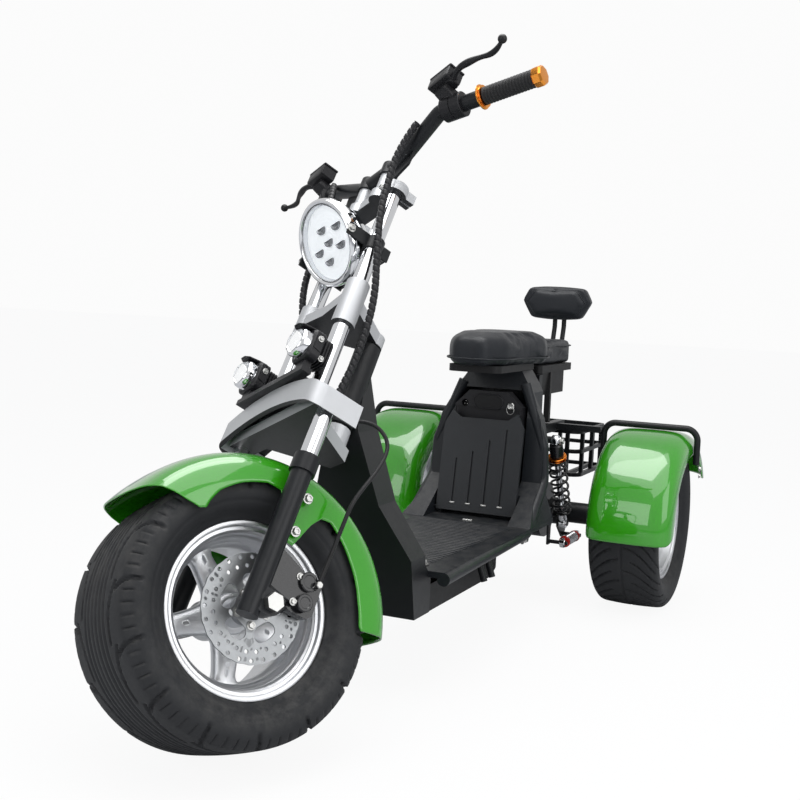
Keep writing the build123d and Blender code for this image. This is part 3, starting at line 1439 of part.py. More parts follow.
# Coil-over shocks: a body with an eye at each end, two spring seats and a wound spring between them
damper_rows = [
    ("shock", shock_side, (shock_top_x, shock_top_z), (shock_low_x, shock_low_z), coil_radius, coil_wire_radius,
     coil_turns, 1.0, 0.9, True),
    ("axle_damper", damper_side, (damper_front_x, damper_z), (damper_rear_x, damper_z), damper_coil_radius,
     damper_wire_radius, damper_turns, 0.6, 0.6, False),
]
for row in damper_rows:
    damper_name, unit_side, top_place, low_place, spring_radius, wire_radius, turns, top_pin, low_pin, wound = row
    for side, sign in sides.items():
        top_end = Vector(rear_axle_x + top_place[0], sign * unit_side, top_place[1])
        low_end = Vector(rear_axle_x + low_place[0], sign * unit_side, low_place[1])
        unit_line = low_end - top_end
        unit_length = unit_line.length
        unit_plane = Plane(origin=tuple(top_end), x_dir=(0, 1, 0), z_dir=tuple(unit_line.normalized()))
        rod_radius = spring_radius * 0.36
        with BuildPart() as unit:
            with BuildSketch(unit_plane.offset(pin_radius)):
                Circle(rod_radius)
            extrude(amount=unit_length - pin_radius * 2)
            with BuildSketch(unit_plane.offset(pin_radius * 1.2)):
                Circle(spring_radius * 0.72)
            extrude(amount=unit_length * 0.2)
            for seat_start in (unit_length * 0.2, unit_length * 0.82):
                with BuildSketch(unit_plane.offset(seat_start)):
                    Circle(spring_radius)
                extrude(amount=wire_radius * 2)
            spring_length = unit_length * 0.62
            if wound:
                with BuildLine() as spring_path:
                    Helix(
                        pitch=spring_length / turns,
                        height=spring_length,
                        radius=spring_radius - wire_radius,
                        center=tuple(unit_plane.offset(unit_length * 0.2 + wire_radius).origin),
                        direction=tuple(unit_plane.z_dir),
                    )
                spring_line = spring_path.line
                with BuildSketch(Plane(origin=spring_line @ 0, z_dir=spring_line % 0)):
                    RegularPolygon(wire_radius, 6)
                sweep(is_frenet=True)
            else:
                for turn in range(turns):
                    turn_at = unit_length * 0.2 + spring_length * (turn + 0.5) / turns
                    with BuildSketch(unit_plane.offset(turn_at)):
                        Circle(spring_radius - wire_radius)
                    extrude(amount=wire_radius * 1.4)
            for eye_place in (top_end, low_end):
                with BuildSketch(Plane(
                    origin=(eye_place.X, eye_place.Y - spring_radius * 0.42, eye_place.Z), z_dir=(0, 1, 0)
                )):
                    Circle(pin_radius * 1.7)
                extrude(amount=spring_radius * 0.84)
            for eye_place, pin_share in ((top_end, top_pin), (low_end, low_pin)):
                with BuildSketch(Plane(
                    origin=(eye_place.X, eye_place.Y - spring_radius, eye_place.Z), z_dir=(0, 1, 0)
                )):
                    Circle(pin_radius * pin_share + seat_gap)
                extrude(amount=spring_radius * 2, mode=Mode.SUBTRACT)
        fixed[damper_name + "_" + side] = unit.part

# Basket of square bar between the rear wheels
basket_mid_x = rear_axle_x + (basket_front + basket_rear) / 2
basket_length = basket_front - basket_rear
with BuildPart() as basket:
    for ring_z in (basket_bottom, (basket_bottom + basket_top) / 2, basket_top - basket_bar):
        with BuildSketch(Plane.XY.offset(ring_z)):
            with Locations((basket_mid_x, 0)):
                RectangleRounded(basket_length, basket_half_width * 2, rail_size)
                RectangleRounded(
                    basket_length - basket_bar * 2,
                    (basket_half_width - basket_bar) * 2,
                    rail_size - basket_bar,
                    mode=Mode.SUBTRACT,
                )
        extrude(amount=basket_bar)
    for post_share in (-0.72, 0, 0.72):
        for sign in sides.values():
            with Locations((
                basket_mid_x,
                sign * (basket_half_width - basket_bar / 2),
                basket_bottom,
            )):
                with Locations((post_share * basket_length / 2, 0, 0)):
                    Box(basket_bar, basket_bar, basket_top - basket_bottom, align=(Align.CENTER, Align.CENTER, Align.MIN))
            with Locations((
                basket_mid_x + sign * (basket_length / 2 - basket_bar / 2),
                post_share * basket_half_width,
                basket_bottom,
            )):
                Box(basket_bar, basket_bar, basket_top - basket_bottom, align=(Align.CENTER, Align.CENTER, Align.MIN))
        with Locations((basket_mid_x, post_share * basket_half_width, basket_bottom)):
            Box(basket_length - basket_bar, basket_bar, basket_bar, align=(Align.CENTER, Align.CENTER, Align.MIN))
fixed["luggage_basket"] = basket.part

# Rear mudguards: a flat-crowned arch with a skirt down both sides, and a tube hoop over each
hoop_top = rear_tyre_dia / 2 + fender_inner_radius + fender_sheet + seat_gap + hoop_radius
front_radial = Plane(
    origin=(rear_axle_x, 0, rear_tyre_dia / 2),
    x_dir=(0, 1, 0),
    z_dir=(sin(radians(fender_front_angle)), 0, -cos(radians(fender_front_angle))),
)
for side, sign in sides.items():
    with BuildPart() as fender:
        with BuildSketch(front_radial):
            with BuildLine():
                FilletPolyline(
                    (sign * fender_inner_y, fender_inner_radius - fender_skirt),
                    (sign * fender_inner_y, fender_inner_radius + fender_sheet),
                    (sign * fender_outer_y, fender_inner_radius + fender_sheet),
                    (sign * fender_outer_y, fender_inner_radius - fender_skirt),
                    radius=fender_corner - fender_sheet,
                )
                FilletPolyline(
                    (sign * (fender_inner_y + fender_sheet), fender_inner_radius - fender_skirt),
                    (sign * (fender_inner_y + fender_sheet), fender_inner_radius),
                    (sign * (fender_outer_y - fender_sheet), fender_inner_radius),
                    (sign * (fender_outer_y - fender_sheet), fender_inner_radius - fender_skirt),
                    radius=fender_corner - fender_sheet * 2,
                )
                for edge_y in (fender_inner_y, fender_outer_y - fender_sheet):
                    Line(
                        (sign * edge_y, fender_inner_radius - fender_skirt),
                        (sign * (edge_y + fender_sheet), fender_inner_radius - fender_skirt),
                    )
            make_face()
        revolve(
            axis=Axis((rear_axle_x, 0, rear_tyre_dia / 2), (0, -1, 0)),
            revolution_arc=fender_rear_angle - fender_front_angle,
        )
    fixed["rear_mudguard_" + side] = fender.part

    hoop_outer_y = fender_outer_y + hoop_radius + seat_gap
    with BuildPart() as hoop:
        with BuildLine():
            hoop_line = FilletPolyline(
                (rear_axle_x, sign * hoop_inner_y, hoop_foot),
                (rear_axle_x, sign * hoop_inner_y, hoop_top),
                (rear_axle_x, sign * hoop_outer_y, hoop_top),
                (rear_axle_x, sign * hoop_outer_y, hoop_foot + overrun * 2),
                radius=hoop_bend,
            )
        with BuildSketch(Plane(origin=hoop_line @ 0, z_dir=hoop_line % 0)):
            Circle(hoop_radius)
        sweep()
    fixed["guard_hoop_" + side] = hoop.part

# Fixed foot under the left edge of the floor, with two prongs
with BuildPart() as foot:
    with BuildSketch(Plane.XY.offset(rail_top)):
        with Locations((rear_axle_x + foot_x, pan_half_width + overrun * 0.85 - foot_plate)):
            Rectangle(foot_width, overrun * 1.7)
    extrude(amount=-foot_plate)
    for share in (-0.4, 0.4):
        prong_top = Vector(
            rear_axle_x + foot_x + foot_width * share, pan_half_width + overrun * 0.7, rail_top - foot_plate
        )
        prong_foot = prong_top + Vector(0, overrun, -foot_drop)
        with BuildLine():
            Line(tuple(prong_top), tuple(prong_foot))
        with BuildSketch(Plane(origin=tuple(prong_top), z_dir=tuple(prong_foot - prong_top))):
            Circle(foot_radius)
        sweep()
fixed["foot_bracket"] = foot.part

# Everything set in its place and written out
placed = {}
for name, piece in steered.items():
    placed[name] = steered_plane.location * piece
for name in ("front_tyre", "front_rim"):
    placed[name] = steered_plane.location * Pos(axle_ahead, 0, 0) * wheel_parts[name]
placed["brake_disc"] = steered_plane.location * Pos(axle_ahead, 0, 0) * brake_disc_part
for side, sign in sides.items():
    for piece_name in ("tyre", "rim"):
        name = "rear_" + side + "_" + piece_name
        placed[name] = Pos(rear_axle_x, sign * rear_track / 2, rear_tyre_dia / 2) * wheel_parts[name]
placed.update(fixed)
for name, piece in placed.items():
    piece.label = name
    export_step(piece, "parts/" + name + ".step")
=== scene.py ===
import bmesh
import bpy
import numpy as np
from mathutils import Matrix, Vector


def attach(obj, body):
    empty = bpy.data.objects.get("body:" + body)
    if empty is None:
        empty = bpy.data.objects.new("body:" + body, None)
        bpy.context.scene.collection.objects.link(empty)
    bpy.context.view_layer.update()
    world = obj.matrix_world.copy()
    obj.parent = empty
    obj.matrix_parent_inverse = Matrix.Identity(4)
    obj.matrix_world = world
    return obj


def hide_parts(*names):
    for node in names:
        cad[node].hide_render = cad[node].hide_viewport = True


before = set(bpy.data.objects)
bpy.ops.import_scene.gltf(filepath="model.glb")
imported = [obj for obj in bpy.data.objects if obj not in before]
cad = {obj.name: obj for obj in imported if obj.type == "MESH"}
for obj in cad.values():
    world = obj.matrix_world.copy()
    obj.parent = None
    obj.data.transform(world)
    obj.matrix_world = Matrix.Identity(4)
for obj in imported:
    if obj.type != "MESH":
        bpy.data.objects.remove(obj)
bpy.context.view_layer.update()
pi = np.pi

# Frame: welded steel tube and plate under black powder coat: the neck, the rails, the swing arm, the stays
# of the second seat and the basket of square bar. The coat is slightly pebbled.


def feed(target, values):
    """Gives a shader node's inputs their values, and links each socket that stands in a value's place."""
    for key, value in values.items():
        if isinstance(value, bpy.types.NodeSocket):
            target.id_data.links.new(value, target.inputs[key])
        else:
            target.inputs[key].default_value = value


def node(tree, kind, inputs=(), **settings):
    """A shader node of this kind with its settings and inputs."""
    made = tree.nodes.new(kind)
    for key, value in settings.items():
        setattr(made, key, value)
    feed(made, dict(inputs))
    return made


def shader_group(name, takes, gives):
    """An empty node group with inputs (name, kind, default) and outputs (name, kind)."""
    tree = bpy.data.node_groups.new(name, "ShaderNodeTree")
    for label, kind, default in takes:
        socket = tree.interface.new_socket(label, in_out="INPUT", socket_type="NodeSocket" + kind)
        if default is not None:
            socket.default_value = default
    for label, kind in gives:
        tree.interface.new_socket(label, in_out="OUTPUT", socket_type="NodeSocket" + kind)
    return tree, tree.nodes.new("NodeGroupInput"), tree.nodes.new("NodeGroupOutput")


# Cloudy tone: colour times a slow noise, and roughness moved by a finer one.
cloudy, takes, gives = shader_group(
    "cloudy_tone",
    [("Vector", "Vector", None), ("Colour", "Color", (0.5, 0.5, 0.5, 1)), ("Scale", "Float", 8.0),
     ("Tone", "Float", 0.1), ("Roughness", "Float", 0.4), ("Spread", "Float", 0.1)],
    [("Colour", "Color"), ("Roughness", "Float")],
)
place, pace = takes.outputs["Vector"], takes.outputs["Scale"]
slow = node(cloudy, "ShaderNodeTexNoise", {"Vector": place, "Scale": pace, "Detail": 4.0})
fast_scale = node(cloudy, "ShaderNodeMath", {0: pace, 1: 7.0}, operation="MULTIPLY")
fast = node(cloudy, "ShaderNodeTexNoise", {"Vector": place, "Scale": fast_scale.outputs[0], "Detail": 6.0})
centred = node(cloudy, "ShaderNodeMath", {0: slow.outputs["Fac"], 1: 0.5}, operation="SUBTRACT")
toned = node(cloudy, "ShaderNodeMath", {0: centred.outputs[0], 1: takes.outputs["Tone"], 2: 1.0},
             operation="MULTIPLY_ADD")
tinted = node(cloudy, "ShaderNodeVectorMath", {0: takes.outputs["Colour"], "Scale": toned.outputs[0]},
              operation="SCALE")
rough_off = node(cloudy, "ShaderNodeMath", {0: fast.outputs["Fac"], 1: 0.5}, operation="SUBTRACT")
roughed = node(cloudy, "ShaderNodeMath", {0: rough_off.outputs[0], 1: takes.outputs["Spread"],
                                          2: takes.outputs["Roughness"]}, operation="MULTIPLY_ADD")
feed(gives, {"Colour": tinted.outputs[0], "Roughness": roughed.outputs[0]})

# Settled dust: a mask that is strongest where the surface looks up, broken by noise.
dusty, takes, gives = shader_group(
    "settled_dust",
    [("Vector", "Vector", None), ("Normal", "Vector", None), ("Amount", "Float", 0.1)],
    [("Mask", "Float")],
)
up = node(dusty, "ShaderNodeSeparateXYZ", {0: takes.outputs["Normal"]})
up_share = node(dusty, "ShaderNodeMapRange", {0: up.outputs["Z"], 1: 0.1, 2: 1.0})
motes = node(dusty, "ShaderNodeTexNoise",
             {"Vector": takes.outputs["Vector"], "Scale": 38.0, "Detail": 8.0, "Roughness": 0.7})
mote_share = node(dusty, "ShaderNodeMapRange", {0: motes.outputs["Fac"], 1: 0.4, 2: 0.75})
both = node(dusty, "ShaderNodeMath", {0: up_share.outputs[0], 1: mote_share.outputs[0]}, operation="MULTIPLY")
dust_mask = node(dusty, "ShaderNodeMath", {0: both.outputs[0], 1: takes.outputs["Amount"]}, operation="MULTIPLY")
feed(gives, {"Mask": dust_mask.outputs[0]})

# Pebbled skin: the height of a fine cell grain mixed with noise, as on powder coat, moulded plastic and vinyl.
pebbled, takes, gives = shader_group(
    "pebbled_skin", [("Vector", "Vector", None), ("Scale", "Float", 400.0), ("Cells", "Float", 0.5)],
    [("Height", "Float")]
)
place, pace = takes.outputs["Vector"], takes.outputs["Scale"]
cells = node(pebbled, "ShaderNodeTexVoronoi", {"Vector": place, "Scale": pace})
grain = node(pebbled, "ShaderNodeTexNoise", {"Vector": place, "Scale": pace, "Detail": 3.0})
skin_mix = node(pebbled, "ShaderNodeMix",
                {0: takes.outputs["Cells"], 2: grain.outputs["Fac"], 3: cells.outputs["Distance"]})
feed(gives, {"Height": skin_mix.outputs[0]})


def finish(name, colour, roughness, metal=0.0, coat=0.0, scale=8.0, tone=0.12, spread=0.1, grain=(400.0, 0.5, 0.05),
           dust=0.06):
    """A painted, plated, moulded or cast finish: cloudy tone, settled dust and a pebbled bump on one Principled shader.
    The grain is (cells to the metre, share of round cells, strength)."""
    made = bpy.data.materials.new(name)
    made.use_nodes = True
    tree = made.node_tree
    place = node(tree, "ShaderNodeTexCoord").outputs["Object"]
    facing = node(tree, "ShaderNodeNewGeometry").outputs["Normal"]
    cloud = node(tree, "ShaderNodeGroup", {"Vector": place, "Colour": (*colour, 1), "Scale": scale, "Tone": tone,
                                           "Roughness": roughness, "Spread": spread}, node_tree=cloudy)
    settled = node(tree, "ShaderNodeGroup", {"Vector": place, "Normal": facing, "Amount": dust}, node_tree=dusty)
    mask = settled.outputs["Mask"]
    dust_colour = (0.42, 0.4, 0.37, 1)
    mixed = node(tree, "ShaderNodeMix", {0: mask, 6: cloud.outputs["Colour"], 7: dust_colour}, data_type="RGBA")
    rough = node(tree, "ShaderNodeMath", {0: mask, 1: 0.5, 2: cloud.outputs["Roughness"]}, operation="MULTIPLY_ADD")
    cell_count, round_share, strength = grain
    skin = node(tree, "ShaderNodeGroup", {"Vector": place, "Scale": cell_count, "Cells": round_share},
                node_tree=pebbled)
    bump = node(tree, "ShaderNodeBump", {"Height": skin.outputs["Height"], "Strength": strength, "Distance": 0.001})
    feed(tree.nodes["Principled BSDF"], {
        "Base Color": mixed.outputs[2], "Roughness": rough.outputs[0], "Normal": bump.outputs[0], "Metallic": metal,
        "Coat Weight": coat, "Coat Roughness": 0.03, "Coat IOR": 1.6, "Specular IOR Level": 0.5 if metal else 0.22})
    return made


def dress(material, *names):
    """Gives these CAD nodes this material."""
    for name in names:
        for place in cad[name].material_slots:
            place.material = material


powder_coat = finish("black_powder_coat", (0.01, 0.011, 0.0125), 0.36, grain=(900, 0.3, 0.12), dust=0.05)
dress(powder_coat, "main_frame", "swing_arm", "foot_bracket", "back_posts", "luggage_basket",
      "guard_hoop_left", "guard_hoop_right", "lamp_bracket", "rear_axle")


# Swing arm and pivot: the arm's eyes turn on a bolt through the rail, with a flanged nut each side. Screws and nuts
# are zinc-plated steel: heads with six flats on a round flange, set on the faces that they clamp.


def in_scene(name, data):
    """A new object with this data, in the scene."""
    made = bpy.data.objects.new(name, data)
    bpy.context.scene.collection.objects.link(made)
    return made


def build(name, points, faces, material, body, slot, sharp=60):
    """One piece from its points and faces, smooth but for edges over the sharp angle, riding on its body."""
    mesh = bpy.data.meshes.new(name)
    mesh.from_pydata(np.asarray(points, float).reshape(-1, 3), [], np.asarray(faces).tolist())
    shape = bmesh.new()
    shape.from_mesh(mesh)
    bmesh.ops.remove_doubles(shape, verts=shape.verts, dist=1e-6)
    bmesh.ops.recalc_face_normals(shape, faces=shape.faces)
    shape.to_mesh(mesh)
    shape.free()
    mesh.polygons.foreach_set("use_smooth", np.ones(len(mesh.polygons), bool))
    mesh.set_sharp_from_angle(angle=np.radians(sharp))
    mesh.materials.append(material)
    made = in_scene(name, mesh)
    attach(made, body)
    return made


def grid_faces(rows, columns, close_rows=False, close_columns=False):
    """The four-cornered faces of a grid of points, row by row, joined end to end where it is closed."""
    i = np.arange(rows if close_rows else rows - 1)
    j = np.arange(columns if close_columns else columns - 1)
    i, j = np.meshgrid(i, j, indexing="ij")
    i, j = i.ravel(), j.ravel()
    after_i, after_j = (i + 1) % rows, (j + 1) % columns
    return np.stack([i * columns + j, i * columns + after_j, after_i * columns + after_j, after_i * columns + j], -1)


def turned(profile, centre, axis, sides=32, flats=0, start=(0, 0, 1)):
    """A turned solid: each profile point (radius, height) goes round the axis; with flats, a corner radius shrinks to a
    polygon's side as cos(half)/cos(angle - middle). The first and last points lie on the axis, so it closes."""
    profile = np.asarray(profile, float)
    axis = np.asarray(axis, float) / np.linalg.norm(axis)
    side = np.cross(axis, start)
    if np.linalg.norm(side) < 0.2:
        side = np.cross(axis, (1, 0, 0))
    side = side / np.linalg.norm(side)
    other = np.cross(axis, side)
    angle = np.arange(sides) * 2 * pi / sides
    flat = np.ones(sides)
    if flats:
        half = pi / flats
        flat = np.cos(half) / np.cos((angle % (2 * half)) - half)
    ring = (np.cos(angle) * flat)[:, None] * side + (np.sin(angle) * flat)[:, None] * other
    points = np.asarray(centre, float) + profile[:, :1, None] * ring[None] + profile[:, 1:2, None] * axis
    return points.reshape(-1, 3), grid_faces(len(profile), sides, close_columns=True)


def joined(surfaces):
    """Several surfaces as one list of points and one of faces."""
    points, faces, count = [], [], 0
    for piece_points, piece_faces in surfaces:
        points.append(np.reshape(piece_points, (-1, 3)))
        faces.append(np.asarray(piece_faces) + count)
        count += len(points[-1])
    return np.concatenate(points), np.concatenate(faces)


zinc = finish("zinc_plate", (0.46, 0.46, 0.45), 0.32, metal=1.0, scale=40, tone=0.2, spread=0.15,
              grain=(700, 0.2, 0.04))


def hex_head(place, axis, size):
    """A flanged hexagon head of this size across: a thin round flange, six flats, a chamfer and a shallow recess."""
    flange, _ = turned([(0, 0), (0.72, 0), (0.76, 0.05), (0.74, 0.16), (0.5, 0.2), (0, 0.2)], (0, 0, 0), axis, 24)
    head, _ = turned([(0, 0.1), (0.56, 0.1), (0.56, 0.55), (0.5, 0.62), (0.3, 0.62), (0.27, 0.5), (0, 0.5)],
                     (0, 0, 0), axis, 24, flats=6)
    heads = [(place + shape * size, grid_faces(len(shape) // 24, 24, close_columns=True)) for shape in (flange, head)]
    return joined(heads)


def fixings(name, heads, body, sharp=60):
    """Screws, nuts and other small steel parts as one zinc-plated piece."""
    return build(name, *joined(heads), zinc, body, "steel", sharp)


axle_x, axle_z = -0.661, 0.214
pivot = [hex_head((-0.261, sign * 0.131, 0.2157), (0, sign, 0), 0.022) for sign in (1, -1)]
fixings("pivot_nuts", pivot, "body")

# Body: a blow-moulded black shell, low gloss and lightly grained, in one piece from the neck's foot over the floor
# and up both sides of the battery. It is screwed to the rails through the floor.
shell_plastic = finish("shell_plastic", (0.013, 0.015, 0.018), 0.36, scale=5, tone=0.15, spread=0.12,
                       grain=(1400, 0.6, 0.1), dust=0.1)
dress(shell_plastic, "body_shell")
pan_steel = finish("pan_black", (0.01, 0.01, 0.011), 0.5, grain=(600, 0.4, 0.1), dust=0.04)
dress(pan_steel, "battery_pan", "saddle_pan", "rear_box")

# Floor ribs: thirty low ribs moulded across the foot board, from the door's foot to the bend, inside a plain border.
# They are part of the shell's moulding, and two flanged screws hold the board at its front corners.
rows, columns, rib_count, floor_top = 361, 41, 30, 0.2433
floor_start, floor_length = -0.222, 0.452
along = np.linspace(0, 1, rows)
rib_x, rib_y = np.meshgrid(floor_start + along * floor_length, np.linspace(-1, 1, columns), indexing="ij")
half_width = 0.127 - 0.018 * along[:, None]
end_fade = np.clip(np.minimum(along, 1 - along) / 0.02, 0, 1)[:, None]
edge = np.clip((1 - np.abs(rib_y)) * half_width / 0.008, 0, 1) * end_fade
rib_wave = np.clip(np.sin(along * 2 * pi * rib_count) * 1.6, 0, 1)[:, None]
floor_points = np.stack([rib_x, rib_y * half_width, floor_top + edge * (0.0004 + 0.0016 * rib_wave)], -1)
under = floor_points.copy()
under[..., 2] = floor_top - 0.0002
rib_faces = grid_faces(rows, columns)
build("floor_ribs", *joined([(floor_points, rib_faces), (under, rib_faces[:, ::-1])]), shell_plastic, "body",
      "body_gloss")
floor_screws = [hex_head((0.243, y, floor_top - 0.0001), (0, 0, 1), 0.017) for y in (0.098, -0.098)]
fixings("floor_screws", floor_screws, "body")

# Battery: a moulded black case in the seat tower. Its face above the door has a carrying handle's recess, a charge
# socket with three pins, and a key lock with its key on a split ring.
case_plastic = finish("case_plastic", (0.014, 0.014, 0.016), 0.42, grain=(1100, 0.6, 0.12), dust=0.05)
dress(case_plastic, "battery_pack")
key_y, key_z, face_x = 0.0588, 0.508, -0.3445


def mm(*rows):
    """A table of places given in millimetres, as an array in metres."""
    return np.array(rows, float) / 1000


lock = turned(mm((0, 0), (8.8, 0), (8.8, 2), (7.2, 3.2), (6.6, 2.4), (1.8, 2.2), (0, 2.2)), (face_x, key_y, key_z),
              (1, 0, 0), 40)
turn = np.linspace(0, 2 * pi, 48, endpoint=False)
ring_path = (-0.341, key_y, 0.499) + np.stack([0.004 * np.sin(turn), 0.0105 * np.sin(turn), -0.0105 * np.cos(turn)], -1)


def along_path(path, radius, sides=12, closed=False):
    """A tube along a path: a ring of this radius (one value, or one for each point and side) round each point, square
    to the path, the ring's first side carried along without twist. Open ends are closed by a point on the path."""
    path = np.asarray(path, float)
    count = len(path)
    if closed:
        heading = np.roll(path, -1, 0) - np.roll(path, 1, 0)
    else:
        heading = np.gradient(path, axis=0)
    heading /= np.linalg.norm(heading, axis=1)[:, None]
    side = np.cross(heading[0], (0.31, 0.2, 0.93))
    sides_at = np.empty_like(path)
    for i in range(count):
        side = side - heading[i] * (side @ heading[i])
        side = side / np.linalg.norm(side)
        sides_at[i] = side
    other = np.cross(heading, sides_at)
    angle = np.arange(sides) * 2 * pi / sides
    radius = np.broadcast_to(np.asarray(radius, float).reshape(-1, 1) if np.ndim(radius) == 1 else radius,
                             (count, sides))
    ring = np.cos(angle)[None, :, None] * sides_at[:, None] + np.sin(angle)[None, :, None] * other[:, None]
    points = path[:, None] + radius[..., None] * ring
    if not closed:
        points = np.concatenate([np.repeat(path[:1, None], sides, 1), points, np.repeat(path[-1:, None], sides, 1)])
    return points.reshape(-1, 3), grid_faces(len(points), sides, close_rows=closed, close_columns=True)


key_blade = turned(mm((0, 0), (2.2, 0), (2.2, 18), (4.2, 19), (4.6, 30), (3, 34), (0, 34)), (-0.3405, key_y, 0.4715),
                   (0, 0.1, -1), 12)
fixings("key_and_lock", [lock, along_path(ring_path, 0.0008, 8, closed=True), key_blade], "body")
pins = [turned(mm((0, 0), (1.6, 0), (1.6, 9), (1, 10), (0, 10)), (-0.3628, 0.004 * y - key_y, key_z + 0.004 * z),
               (1, 0, 0), 12) for y, z in ((0, 1), (0.9, -0.6), (-0.9, -0.6))]
fixings("socket_pins", pins, "body")

# Handle slot: a dark pressed oval in the battery's face behind a round moulded lip, where a hand lifts the battery
# out. Both are moulded with the case.


def slot_plate(centre, along, across, length, width, height):
    """A low pressed oval plate: a stadium outline whose rim rises as a quarter circle to a flat crown."""
    centre, along, across = (np.asarray(v, float) for v in (centre, along, across))
    out = np.cross(along, across)
    turn = np.linspace(0, 2 * pi, 40, endpoint=False)
    layers = np.array([(1.0, 0.0), (1.0, 0.35), (0.93, 0.8), (0.8, 1.0), (0.0, 1.0)])
    end = np.sign(np.cos(turn)) * (length - width) / 2
    grow = layers[:, :1]
    reach = (end * (grow > 0) + np.cos(turn) * width / 2 * grow)[..., None] * along
    breadth = (np.sin(turn) * width / 2 * grow)[..., None] * across
    rise = (layers[:, 1:2] * height * np.ones(40))[..., None] * out
    points = centre + reach + breadth + rise
    points = np.concatenate([np.broadcast_to(centre, (1, 40, 3)), points])
    return points.reshape(-1, 3), grid_faces(6, 40, close_columns=True)


slot_place, slot_round, slot_half = np.array([-0.3468, 0, 0.515]), 0.0165, 0.037
turn = np.linspace(0, 2 * pi, 96, endpoint=False)
lip_y = np.sign(np.cos(turn)) * (slot_half - slot_round) + np.cos(turn) * slot_round
slot_ring = slot_place + np.stack([turn * 0, lip_y, np.sin(turn) * slot_round], -1)
oval = slot_plate(slot_place, (0, 1, 0), (0, 0, 1), 2 * slot_half, 2 * slot_round, 0.0006)
build("handle_slot", *oval, pan_steel, "body", "black_plastic")
build("handle_lip", *along_path(slot_ring, 0.0019, 12, closed=True), case_plastic, "body", "black_plastic")

# Battery door: a thin moulded door with four pressed grooves, hung at its foot on two pins. A bright spring clip sits
# at the foot of each groove, and one oval screw holds the floor in front of it.
door_plastic = finish("door_plastic", (0.024, 0.026, 0.029), 0.4, grain=(1500, 0.6, 0.12), dust=0.05, scale=6)
dress(door_plastic, "battery_door")
lean = np.radians(9.7)
door_up, door_out = np.array([-np.sin(lean), 0, np.cos(lean)]), np.array([np.cos(lean), 0, np.sin(lean)])
clip_row = np.array([-0.299, 0, 0.252]) + door_up * 0.0185 + door_out * 0.0091
clips = [slot_plate(clip_row + (0, side * 0.1, 0), (0, 1, 0), door_up, 0.013, 0.0045, 0.0012)
         for side in (-0.6, -0.2, 0.2, 0.6)]
fixings("door_clips", clips, "battery_door")
fixings("floor_plate_screw", [slot_plate((-0.246, 0, 0.2432), (0, 1, 0), (-1, 0, 0), 0.026, 0.012, 0.0022)], "body")

# Tyres: black rubber on silver cast wheels. The front one has ribs round its middle and, on each shoulder, long
# curved grooves with short sipes; the rear ones have slanted flame grooves. Each turns with its wheel.
front_radius, front_half, front_half_rim = 0.217, 0.1125, 0.087
rear_radius, rear_half, rear_half_rim = 0.214, 0.085, 0.065
bead_share, flange_rise, wheel_ahead, half_track = 0.585, 0.014, 0.075, 0.315
tyre_rubber = finish("tyre_rubber", (0.021, 0.022, 0.024), 0.62, scale=14, tone=0.35, spread=0.2,
                     grain=(520, 0.2, 0.2), dust=0.16)


def run_of(points):
    """How far along a line each of its points is."""
    return np.concatenate([[0], np.cumsum(np.linalg.norm(np.diff(points, axis=0), axis=1))])


def smooth_line(points, count):
    """Points spaced evenly along a Catmull-Rom curve through the given ones."""
    points = np.asarray(points, float)
    padded = np.concatenate([[2 * points[0] - points[1]], points, [2 * points[-1] - points[-2]]])
    t = np.linspace(0, 1, 24, endpoint=False)[:, None]
    spans = [0.5 * (2 * b + (c - a) * t + (2 * a - 5 * b + 4 * c - d) * t**2 + (3 * b - a - 3 * c + d) * t**3)
             for a, b, c, d in zip(padded, padded[1:], padded[2:], padded[3:])]
    fine = np.concatenate([*spans, points[-1:]])
    run = run_of(fine)
    even = np.linspace(0, run[-1], count)
    return np.stack([np.interp(even, run, fine[:, k]) for k in range(points.shape[1])], -1)


def mirrored(half):
    """An outline in pairs, then its mirror image back to the start: the second value changes sign."""
    return np.concatenate([half, (np.asarray(half) * (1, -1))[-2::-1]])


def about_axle(radius, side, turn):
    """Points about Y at the origin: (radius cos turn, side, radius sin turn)."""
    return np.stack(np.broadcast_arrays(radius * np.cos(turn), side, radius * np.sin(turn)), -1)


def tyre_surface(radius, half_width, half_rim, around, across, tread):
    """A tyre about Y at the origin: a smooth section from bead to bead, closed inside the rim, carried round the wheel.
    Each point is lowered along its section's normal by the tread's depth there, tread(round in m, side in m)."""
    bead = radius * bead_share
    flange = bead + flange_rise
    section = radius - flange
    shares = [(0.12, 0.83), (0.27, 0.93), (0.52, 1), (0.74, 0.985), (0.88, 0.91), (0.955, 0.8), (0.985, 0.5), (1, 0)]
    half = [(flange + 0.001, half_rim + 0.001), *((flange + section * r, half_width * y) for r, y in shares)]
    outer = smooth_line(mirrored(half), across)
    seat = half_rim - 0.008
    inner = np.array([(flange, -seat), (bead + 0.0004, -seat), (bead + 0.0004, seat), (flange, seat)])
    slope = np.gradient(outer, axis=0)
    normal = np.stack([-slope[:, 1], slope[:, 0]], -1)
    normal /= -np.linalg.norm(normal, axis=1)[:, None]
    turn = np.arange(around) * 2 * pi / around
    run = run_of(outer)
    side = run - run[-1] / 2
    depth = tread(turn[:, None] * radius, side[None, :], 2 * pi * radius)
    centre = np.array([flange + section * 0.5, 0])
    inward = centre - outer
    inward = np.where((normal * inward).sum(1)[:, None] > 0, normal, -normal)
    lowered = outer[None] + inward[None] * depth[..., None]
    rows = np.concatenate([lowered, np.broadcast_to(inner, (around, 4, 2))], 1)
    points = about_axle(rows[..., 0], rows[..., 1], turn[:, None])
    return points, grid_faces(around, across + 4, close_rows=True, close_columns=True)


def cut(distance, half_width, blur=0.0011):
    """1 inside a groove of this half width, falling to 0 over a blur beyond its edge."""
    return np.clip((half_width + blur - np.abs(distance)) / blur, 0, 1)


